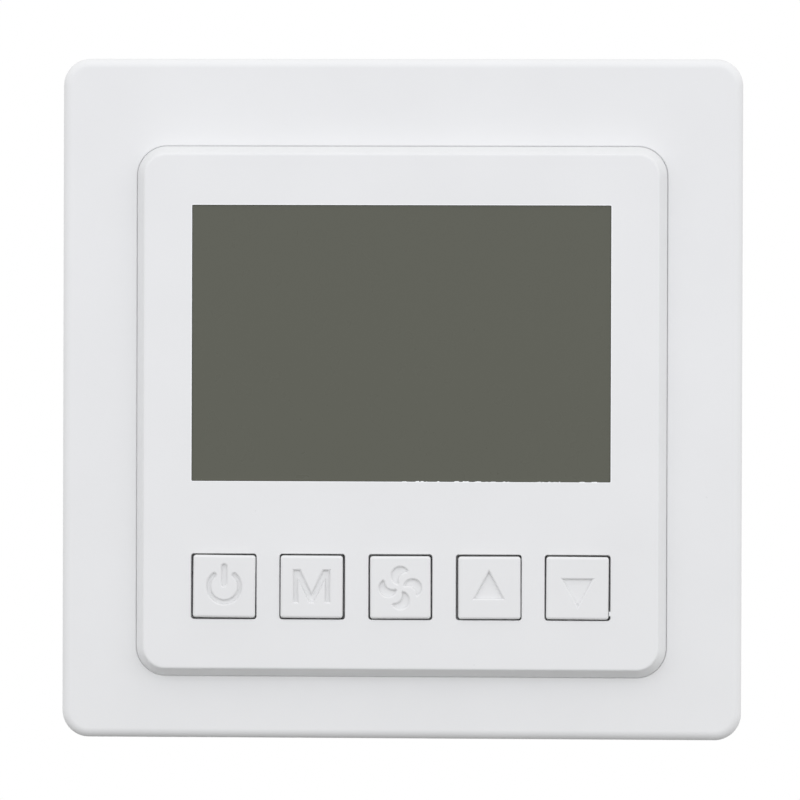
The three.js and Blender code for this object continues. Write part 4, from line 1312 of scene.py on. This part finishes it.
def add_transformer():
    e = Extent("transformer")
    core_w, plates = e.width - 5, 13
    step = core_w / plates
    levels = []
    for i in range(plates):
        x = e.x - core_w / 2 + i * step
        for inset, at in ((0.08, 0.0), (0, 0.14), (0, 0.86), (0.08, 0.999)):
            outline = rounded(e.height - 2 * inset, e.depth - 2 * inset, 0.3, e.y, e.z, 3)
            levels.append((outline, x + step * at))
    core = loft(levels, across)
    holes = []
    for sx in (1, -1):
        for y, z in mirrored(e.height / 2 - 1.5, e.depth / 2 - 1.5):
            outline = circle(0.9, e.y + y, e.z + z, 20)
            ends = (e.x + sx * (core_w / 2 + out) for out in (PAST, -0.4))
            holes.append(bar(outline, *ends, across))
    cut(core, merged(holes))
    stand_in(tidied(core), "transformer", "lamination")
    depth = e.depth - 5
    bobbins, tapes = [], []
    layers = ((0.5, 0.7), (0.1, 1.0), (0, 1.4), (0, 2.1), (0.35, 2.42))
    for sign in (1, -1):
        face = e.x + sign * core_w / 2
        outline = rounded(e.height - 4.4, depth + 0.6, 0.6, e.y, e.z, 4)
        bobbins.append(bar(outline, face + sign * 0.02, face + sign * 0.75, across))
        levels = []
        for inset, out in layers:
            width, height = e.height - 5.2 - 2 * inset, depth - 0.6 - 2 * inset
            levels.append((rounded(width, height, 1.2, e.y, e.z, 6), face + sign * out))
        tapes.append(loft(levels, across))
    detail(merged(bobbins), "transformer_bobbin", "transformer", "black_plastic")
    detail(merged(tapes), "transformer_winding", "transformer", "brown_plastic", "winding_tape")


def add_capacitor():
    e = Extent("capacitor")
    r, back = e.width / 2, e.back
    sleeve = near(back, (1.0, 0.25), (0.9, 0.05), (0.35, 0.05), (0.08, 0.3), (0, 0.7))
    sleeve += near(e.front, (0, -2.6), (0.25, -2.3), (0.3, -2.0), (0.25, -1.7), (0, -1.4))
    sleeve += near(e.front, (0, -0.5), (0.3, -0.15), (0.9, -0.1), (1.2, -0.3))
    stand_in(turned([(r - inset, z) for inset, z in sleeve], *e.middle, 56), "capacitor")
    top = rod(r - 0.95, back + 0.12, back + 0.6, *e.middle, 0.05)
    mark = back - PAST, back + 0.25, *e.middle
    cut(top, sharp(0.25, 1.5 * r, *mark), sharp(1.5 * r, 0.25, *mark))
    detail(top, "capacitor_top", "capacitor", "tin_plate")


def add_fuse():
    e = Extent("fuse")
    r = e.height / 2

    def along(*rings):
        """A body of revolution along x from (radius, x) rings."""
        return loft([(circle(radius, e.y, e.z, 36), x) for radius, x in rings], across)

    left, right = e.left + 1.0, e.right - 1.0
    tube = (r - 0.25, left), (r - 0.2, e.left + 1.1), (r - 0.2, e.right - 1.1), (r - 0.25, right)
    stand_in(cut(along(*tube), along((r - 0.75, e.left), (r - 0.75, e.right))), "fuse")
    shape = ((0.45, 0), (0.1, 0.08), (0, 0.3), (0, 1.9), (0.12, 2.2))
    caps = [
        along(*((r - inset, end + sign * out) for inset, out in shape))
        for sign, end in ((1, e.left), (-1, e.right))
    ]
    wire = along((0.12, left), (0.09, e.x), (0.12, right))
    ends = e.left + FUSE_LEG, e.right - FUSE_LEG
    legs = [pin(x, e.y, e.front - r, e.front, 0.4) for x in ends]
    detail(merged([*caps, wire, *legs]), "fuse_caps", "fuse", "tin_plate")


def add_varistor():
    e = Extent("varistor")
    r, half = e.width / 2, e.height / 2
    side = [(0.0, 1.0), (0.55, 0.98), (0.82, 0.85), (0.94, 0.62), (1.0, 0.25)]
    shares = [*side, *((a, -b) for a, b in reversed(side))]
    disc = loft([(circle(max(r * a, 0.01), e.x, e.z), e.y + half * b) for a, b in shares], upright)
    ends = e.x - VARISTOR_LEG, e.x + VARISTOR_LEG
    legs = [rod(0.5, e.front - 1.6, e.front - 0.2, x, e.y, 0.2, 16) for x in ends]
    stand_in(tidied(joined(disc, *legs)), "varistor")


def pin_columns(middle):
    return [middle + (i - (PINS - 1) / 2) * PIN_PITCH for i in range(PINS)]


def octagon(size, chamfer, x, y):
    a, b = size / 2, size / 2 - chamfer
    corners = ((a, -b), (a, b), (b, a), (-b, a), (-a, b), (-a, -b), (-b, -a), (b, -a))
    return [(x + px, y + py) for px, py in corners]


def add_header():
    e = Extent("header_socket")
    shell = brick(*e.size, *e.depths, *e.middle, 0.12, 0.15)
    xs = pin_columns(e.x)
    mouth = flared(e.back + 1, e.front, 0.4, 0.5)
    entries = [block(1.04, 1.04, 0.1, mouth, x, e.y, 3) for x in xs]
    groove = 0.25, 0.5, e.back - PAST, e.front + PAST
    between = [e.x + (i - 3) * PIN_PITCH for i in range(PINS - 1)]
    grooves = [sharp(*groove, x, y) for x in between for y in (e.bottom, e.top)]
    stand_in(tidied(cut(shell, merged(entries), merged(grooves))), "header_socket")

    e, board_front = Extent("board_header"), Extent("control_board").front
    back = e.front - 2.5
    cells = [bar(octagon(2.5, 0.45, x, e.y), back, e.front) for x in xs]
    core = brick(e.width - 0.6, 1.8, back + 0.02, e.front - 0.02, *e.middle, 0.05, 0.1)
    stand_in(tidied(joined(core, merged(cells))), "board_header")
    profile = [*near(e.back, (0.2, 0), (0, 0.5)), *near(board_front, (0, 0.9), (0.15, 1.1))]
    pins = [block(0.64, 0.64, 0.04, profile, x, e.y, 2) for x in xs]
    detail(merged(pins), "board_header_pins", "board_header", "brass")


# ---- Control board ----
def add_control_board():
    e, header, chip, crystal, sensor = extents(
        ("control_board", "board_header", "microcontroller", "crystal", "temperature_sensor")
    )
    screws = extents(BOARD_SCREWS)
    through = e.back - PAST, e.front + PAST
    board = slab(*e.size, PANEL_CORNER - 0.5, *e.depths, *e.middle, 0.06, 10)
    holes = [rod(1.1, *through, *s.middle) for s in screws]
    xs = pin_columns(header.x)
    drills = [rod(0.5, *through, x, header.y, sides=16) for x in xs]
    cut(board, merged(holes), merged(drills))
    stand_in(tidied(board), "control_board")

    lands = [
        cut(rod(2.3, z, z + 0.03, *s.middle, 0, 40), rod(1.15, z - 1, z + 1, *s.middle, 0, 40))
        for s in screws
        for z in (e.back - 0.03, e.front)
    ]
    joints = [solder(x, header.y, e.front, 1, 0.7) for x in xs]
    switches = extents([f"{name}_switch" for name in KEY_NAMES])
    feet = mirrored(-SWITCH_FOOT_X, -2.2)
    joints += [solder(k.x + dx, k.y + dy, e.back, -1, 0.55) for k in switches for dx, dy in feet]
    ends = (sensor.x - WIRE_GAP, sensor.x + WIRE_GAP)
    joints += [solder(x, SENSOR_PIN_Y, e.front, 1, 0.5) for x in ends]
    detail(merged([*lands, *joints]), "control_board_solder", "control_board", "tin_plate")
    rng = random.Random(5)
    area = (e.left + 1, e.bottom + 1, e.right - 1, e.top - 1)
    corners = [(s.x - 3, s.y - 3, s.x + 3, s.y + 3) for s in screws]
    faces = (e.back, -1), (e.front, 1)
    add_tracks("control_board", [track_group(rng, area, *face, corners, 420) for face in faces])
    away = [(chip.left - 2, chip.bottom - 2, chip.right + 2, chip.top + 2)]
    away += [(header.left, header.bottom, header.right, header.top)]
    away += OVER_BOX_SCREWS
    spaced = [s.middle for s in screws]
    spaced += [(k.x + dx, k.y) for k in switches for dx in (-SWITCH_FOOT_X, SWITCH_FOOT_X)]
    parts = small_parts(rng, 34, CONTROL_CHIPS, *faces[0], away, spaced)
    add_chips("control_board", "control_board", parts)
    away = [(crystal.left, crystal.bottom, crystal.right, crystal.top)]
    parts = small_parts(rng, 9, CONTROL_CHIPS_FRONT, *faces[1], away)
    add_chips("front_side", "control_board", parts, "brown_plastic", "ceramic")


def add_microcontroller():
    e = Extent("microcontroller")
    inner, back, front = e.width - 2.4, e.back, e.front
    profile = [*near(back, (0.12, 0), (0, 0.55), (0, 0.7)), (0.12, front - 0.12)]
    body = block(inner, inner, 0.15, profile, *e.middle, 2)
    corner = e.x - inner / 2 + 1.2, e.y + inner / 2 - 1.2
    stand_in(cut(body, rod(0.5, back - PAST, back + 0.12, *corner, sides=24)), "microcontroller")
    legs = []
    half, bend = inner / 2, back + 0.6
    section = [(half - 0.1, back + 0.75), (half - 0.1, bend), (half + 0.35, bend)]
    section += [(half + 0.6, front - 0.15), (e.width / 2, front - 0.15), (e.width / 2, front)]
    section += [(half + 0.5, front), (half + 0.25, back + 0.75)]
    for turn in range(4):
        for i in range(11):
            at = (i - 5) * 0.66
            leg = bar(section, at - 0.14, at + 0.14, upright)
            legs.append(placed(leg, *e.middle, QUARTER * turn))
    detail(merged(legs), "microcontroller_legs", "microcontroller", "tin_plate")


def add_crystal():
    e = Extent("crystal")
    profile = near(e.back, (0, 0), (0, 0.35), (0.12, 0.42), (0.45, 0.5))
    profile += near(e.front, (0.45, -0.5), (0.55, -0.2), (0.8, 0))
    stand_in(block(*e.size, e.height / 2 - 0.01, profile, *e.middle, 14), "crystal")


def add_sensor():
    """A glass bead on two wires, bent up to the board's lower edge."""
    e, board = Extent("temperature_sensor"), Extent("control_board")
    r, wire_r = e.width / 2, 0.16
    shares = ((0.02, -1.0), (0.45, -0.9), (0.8, -0.6), (1.0, 0.0))
    shares += ((0.85, 0.5), (0.6, 0.85), (0.35, 1.3), (0.2, 1.5))
    bead = [(circle(r * a, e.x, e.z, 28), e.bottom + r + r * b) for a, b in shares]
    stand_in(loft(bead, upright), "temperature_sensor")
    wires = []
    neck = e.bottom + r * 2
    for dx in (-WIRE_GAP, WIRE_GAP):
        bends = ((e.x + dx * 0.3, neck), (e.x + dx, neck + 0.8), (e.x + dx, e.top))
        wires.append(loft([(circle(wire_r, x, e.z, 10), y) for x, y in bends], upright))
        end = e.x + dx, e.top - wire_r
        wires.append(rod(wire_r, e.z, board.back + 0.3, *end, sides=10))
    detail(merged(wires), "sensor_wires", "temperature_sensor", "tin_plate")


# ---- Keys' switches ----
def add_switches():
    e = Extent("power_switch")
    side, back, front = e.width, e.back, e.front
    housing = brick(side, side, back, front - 0.25, edge=0.08, radius=0.3)
    joined(housing, rod(2.3, front - 0.3, front, edge=0.05))
    bore = [(1.85, back + 0.8), *near(front, (1.85, -0.12), (1.95, 0), (1.95, PAST))]
    cut(housing, turned(bore))
    cover = slab(side - 0.3, side - 0.3, 0.3, front - 0.28, front - 0.12, edge=0.04)
    cut(cover, rod(2.32, 0, front + PAST))
    rivet = 0.38, front - 0.2, front - 0.02
    rivets = [rod(*rivet, x, y, 0.1, 16) for x, y in mirrored(2.35, 2.35)]
    foot = 0.9, 0.7, back - 0.08, back + 0.12
    feet = [brick(*foot, x, y, 0.03, 0.05) for x, y in mirrored(side / 2 + 0.2, 2.2)]
    fittings = merged([cover, *rivets, *feet])
    switches = [f"{name}_switch" for name in KEY_NAMES]
    for switch in switches:
        fitting = copied(fittings, *Extent(switch).middle)
        detail(fitting, f"{switch}_cover", switch, "tin_plate")
    drop(fittings)
    at_each(tidied(housing), switches)

    e = Extent("power_plunger")
    r = e.width / 2
    profile = near(e.back, (r - 0.08, 0), (r, 0.08))
    profile += near(e.front, (r, -0.3), (r - 0.08, -0.12), (r - 0.3, -0.03))
    profile += near(e.front, (0.9, 0), (0.8, -0.06), (0.0, -0.06))
    at_each(turned(profile), [f"{name}_plunger" for name in KEY_NAMES])


# ---- Behind the display ----
def add_display_back():
    e, glass, guide, strip = extents(
        ("display_holder", "display_glass", "light_guide", "contact_strip")
    )
    holder = slab(*e.size, 1.4, *e.depths, *e.middle, 0.15, 8)
    room_w, room_h = glass.width + GLASS_ROOM, glass.height + GLASS_ROOM
    pocket = block(room_w, room_h, 0.3, flared(e.back + 1.1, e.front, 0.2), e.x, glass.y)
    depths = e.back - PAST, e.front
    through = brick(room_w, room_h - 8, *depths, e.x, glass.y, 0.02, 0.1)
    slot = brick(strip.width + 0.3, strip.height + 0.3, *depths, *strip.middle, 0.02, 0.1)
    film = slab(*guide.size, 0.3, guide.back - 0.2, guide.back - 0.05, *guide.middle, 0.02)
    detail(film, "reflector_film", "display_holder", "inner_white")
    clip = 3.2, 0.8, e.front - 1.6, e.front - 0.4
    clips = [brick(*clip, x, e.top, 0.02, 0.1) for x in (-16, 0, 16)]
    cut(holder, pocket, through, slot, merged(clips))
    stand_in(tidied(holder), "display_holder")

    def chamfered(part, radius, rise):
        profile = near(part.back, (0.15, 0), (0, rise)) + near(part.front, (0, -rise), (0.15, 0))
        return block(*part.size, radius, profile, *part.middle, 3)

    dot = near(guide.back, (0.35, -PAST), (0.35, 0), (0.2, 0.08))
    dots = [
        turned(dot, guide.x + i * 2.6, guide.y + j * 2.6, 10)
        for i in range(-9, 10)
        for j in range(-6, 7)
    ]
    stand_in(cut(chamfered(guide, 0.3, 0.15), merged(dots)), "light_guide")
    stand_in(chamfered(strip, 0.2, 0.2), "contact_strip", "layered_rubber")

    for node, inward in (("backlight_lamp_left", 1), ("backlight_lamp_right", -1)):
        lamp = Extent(node)
        face = lamp.x + inward * lamp.width / 2

        def well(*levels):
            """A solid along x from levels of (width, height, corner radius, way out)."""
            sections = [(rounded(*size, lamp.y, lamp.z, 4), out) for *size, out in levels]
            return loft([(section, face + inward * out) for section, out in sections], across)

        body = brick(*lamp.size, *lamp.depths, *lamp.middle, 0.08, 0.12)
        cut(body, well((2.2, 1.7, 0.4, -0.3), (2.5, 2.0, 0.5, PAST)))
        stand_in(body, node, "inner_white")
        lens = well((2.2, 1.7, 0.4, -0.29), (2.3, 1.8, 0.45, -0.08))
        detail(lens, f"{node}_lens", node, "clear_acrylic", "phosphor")


# ---- Stage ----
def add_world():
    """White for the camera and in reflections. The light that falls on surfaces comes most from
    ahead and above."""
    world = scene.world = bpy.data.worlds.new("world")
    world.use_nodes = True
    tree = world.node_tree
    way = wired(tree, "TexCoord", "Generated")
    lean = wired(tree, "VectorMath", "Value", {0: way, 1: LIGHT_LEAN}, operation="DOT_PRODUCT")
    height = wired(tree, "SeparateXYZ", "Z", {0: way})
    light = wired(tree, "FloatCurve", "Value")
    mapping = light.node.mapping
    mapping.extend = "HORIZONTAL"
    points = mapping.curves[0].points
    for index, place in enumerate(LIGHT_BY_HEIGHT):
        if index < 2:
            points[index].location = place
        else:
            points.new(*place)
    for point in points:
        point.handle_type = "VECTOR"
    mapping.update()
    rise = wired(tree, "MapRange", "Result", {"Value": height, "From Min": -1.0})
    tree.links.new(rise, light.node.inputs["Value"])
    level = wired(tree, "Math", 0, {0: lean, 1: light}, operation="ADD")
    seen = any_ray(tree, "Is Camera Ray", "Is Glossy Ray", "Is Transmission Ray")
    inputs = {"Factor": seen, "A": level, "B": 1.0}
    background = tree.nodes["Background"].inputs
    background["Color"].default_value = (1, 1, 1, 1)
    strength = wired(tree, "Mix", "Result", inputs, data_type="FLOAT")
    tree.links.new(strength, background["Strength"])


def any_ray(tree, first, *others):
    """1 for rays of any of the named kinds."""
    either = wired(tree, "LightPath", first)
    kinds = either.node.outputs
    for name in others:
        either = wired(tree, "Math", 0, {0: either, 1: kinds[name]}, operation="MAXIMUM")
    return either


def add_floor():
    """A pale floor well below the part, which a wall box would hold."""
    bm = bmesh.new()
    corners = ((-1, -1), (1, -1), (1, 1), (-1, 1))
    half, low = FLOOR_SIZE / 2, cad_bounds[0].z - FLOOR_DROP
    bm.faces.new([bm.verts.new((sx * half, sy * half, low)) for sx, sy in corners])
    floor = linked("floor", bm)
    material = bpy.data.materials.new("floor")
    material.use_nodes = True
    tree = material.node_tree
    tree.nodes.clear()
    pale = wired(tree, "BsdfDiffuse", 0, {"Color": (0.93, 0.93, 0.93, 1)})
    clear = wired(tree, "BsdfTransparent", 0)
    bounced = any_ray(tree, "Is Diffuse Ray", "Is Shadow Ray")
    mix = wired(tree, "MixShader", 0, {0: bounced, 1: pale, 2: clear})
    output = tree.nodes.new("ShaderNodeOutputMaterial")
    tree.links.new(mix, output.inputs["Surface"])
    floor.data.materials.append(material)


def add_lamp(name, place, width, height, power, colour):
    """A soft strip turned to the object. Only matt reflection shows it."""
    data = bpy.data.lights.new(name, "AREA")
    data.shape = "RECTANGLE"
    data.size, data.size_y = width, height
    data.energy, data.color = power, colour
    lamp = bpy.data.objects.new(name, data)
    lamp.visible_camera = lamp.visible_glossy = False
    lamp.location = place
    lamp.rotation_euler = (-Vector(place)).to_track_quat("-Z", "Y").to_euler()
    scene.collection.objects.link(lamp)


make_finishes()
add_camera()
add_frame()
add_panel()
for key in KEYS:
    add_key(*key)
add_display()
add_window_rim()
add_display_back()
add_switches()
add_control_board()
add_microcontroller()
add_crystal()
add_sensor()
add_header()
add_screws()
add_mounting_plate()
add_rear_housing()
add_terminals()
add_power_board()
add_relays()
add_transformer()
add_capacitor()
add_fuse()
add_varistor()
add_world()
add_floor()
add_lamp(
    "strip",
    place=(0.0, -0.15, 0.047),
    width=0.6,
    height=0.08,
    power=0.1,
    colour=(0.86, 0.87, 1.0),
)
scene.view_settings.view_transform = "Standard"
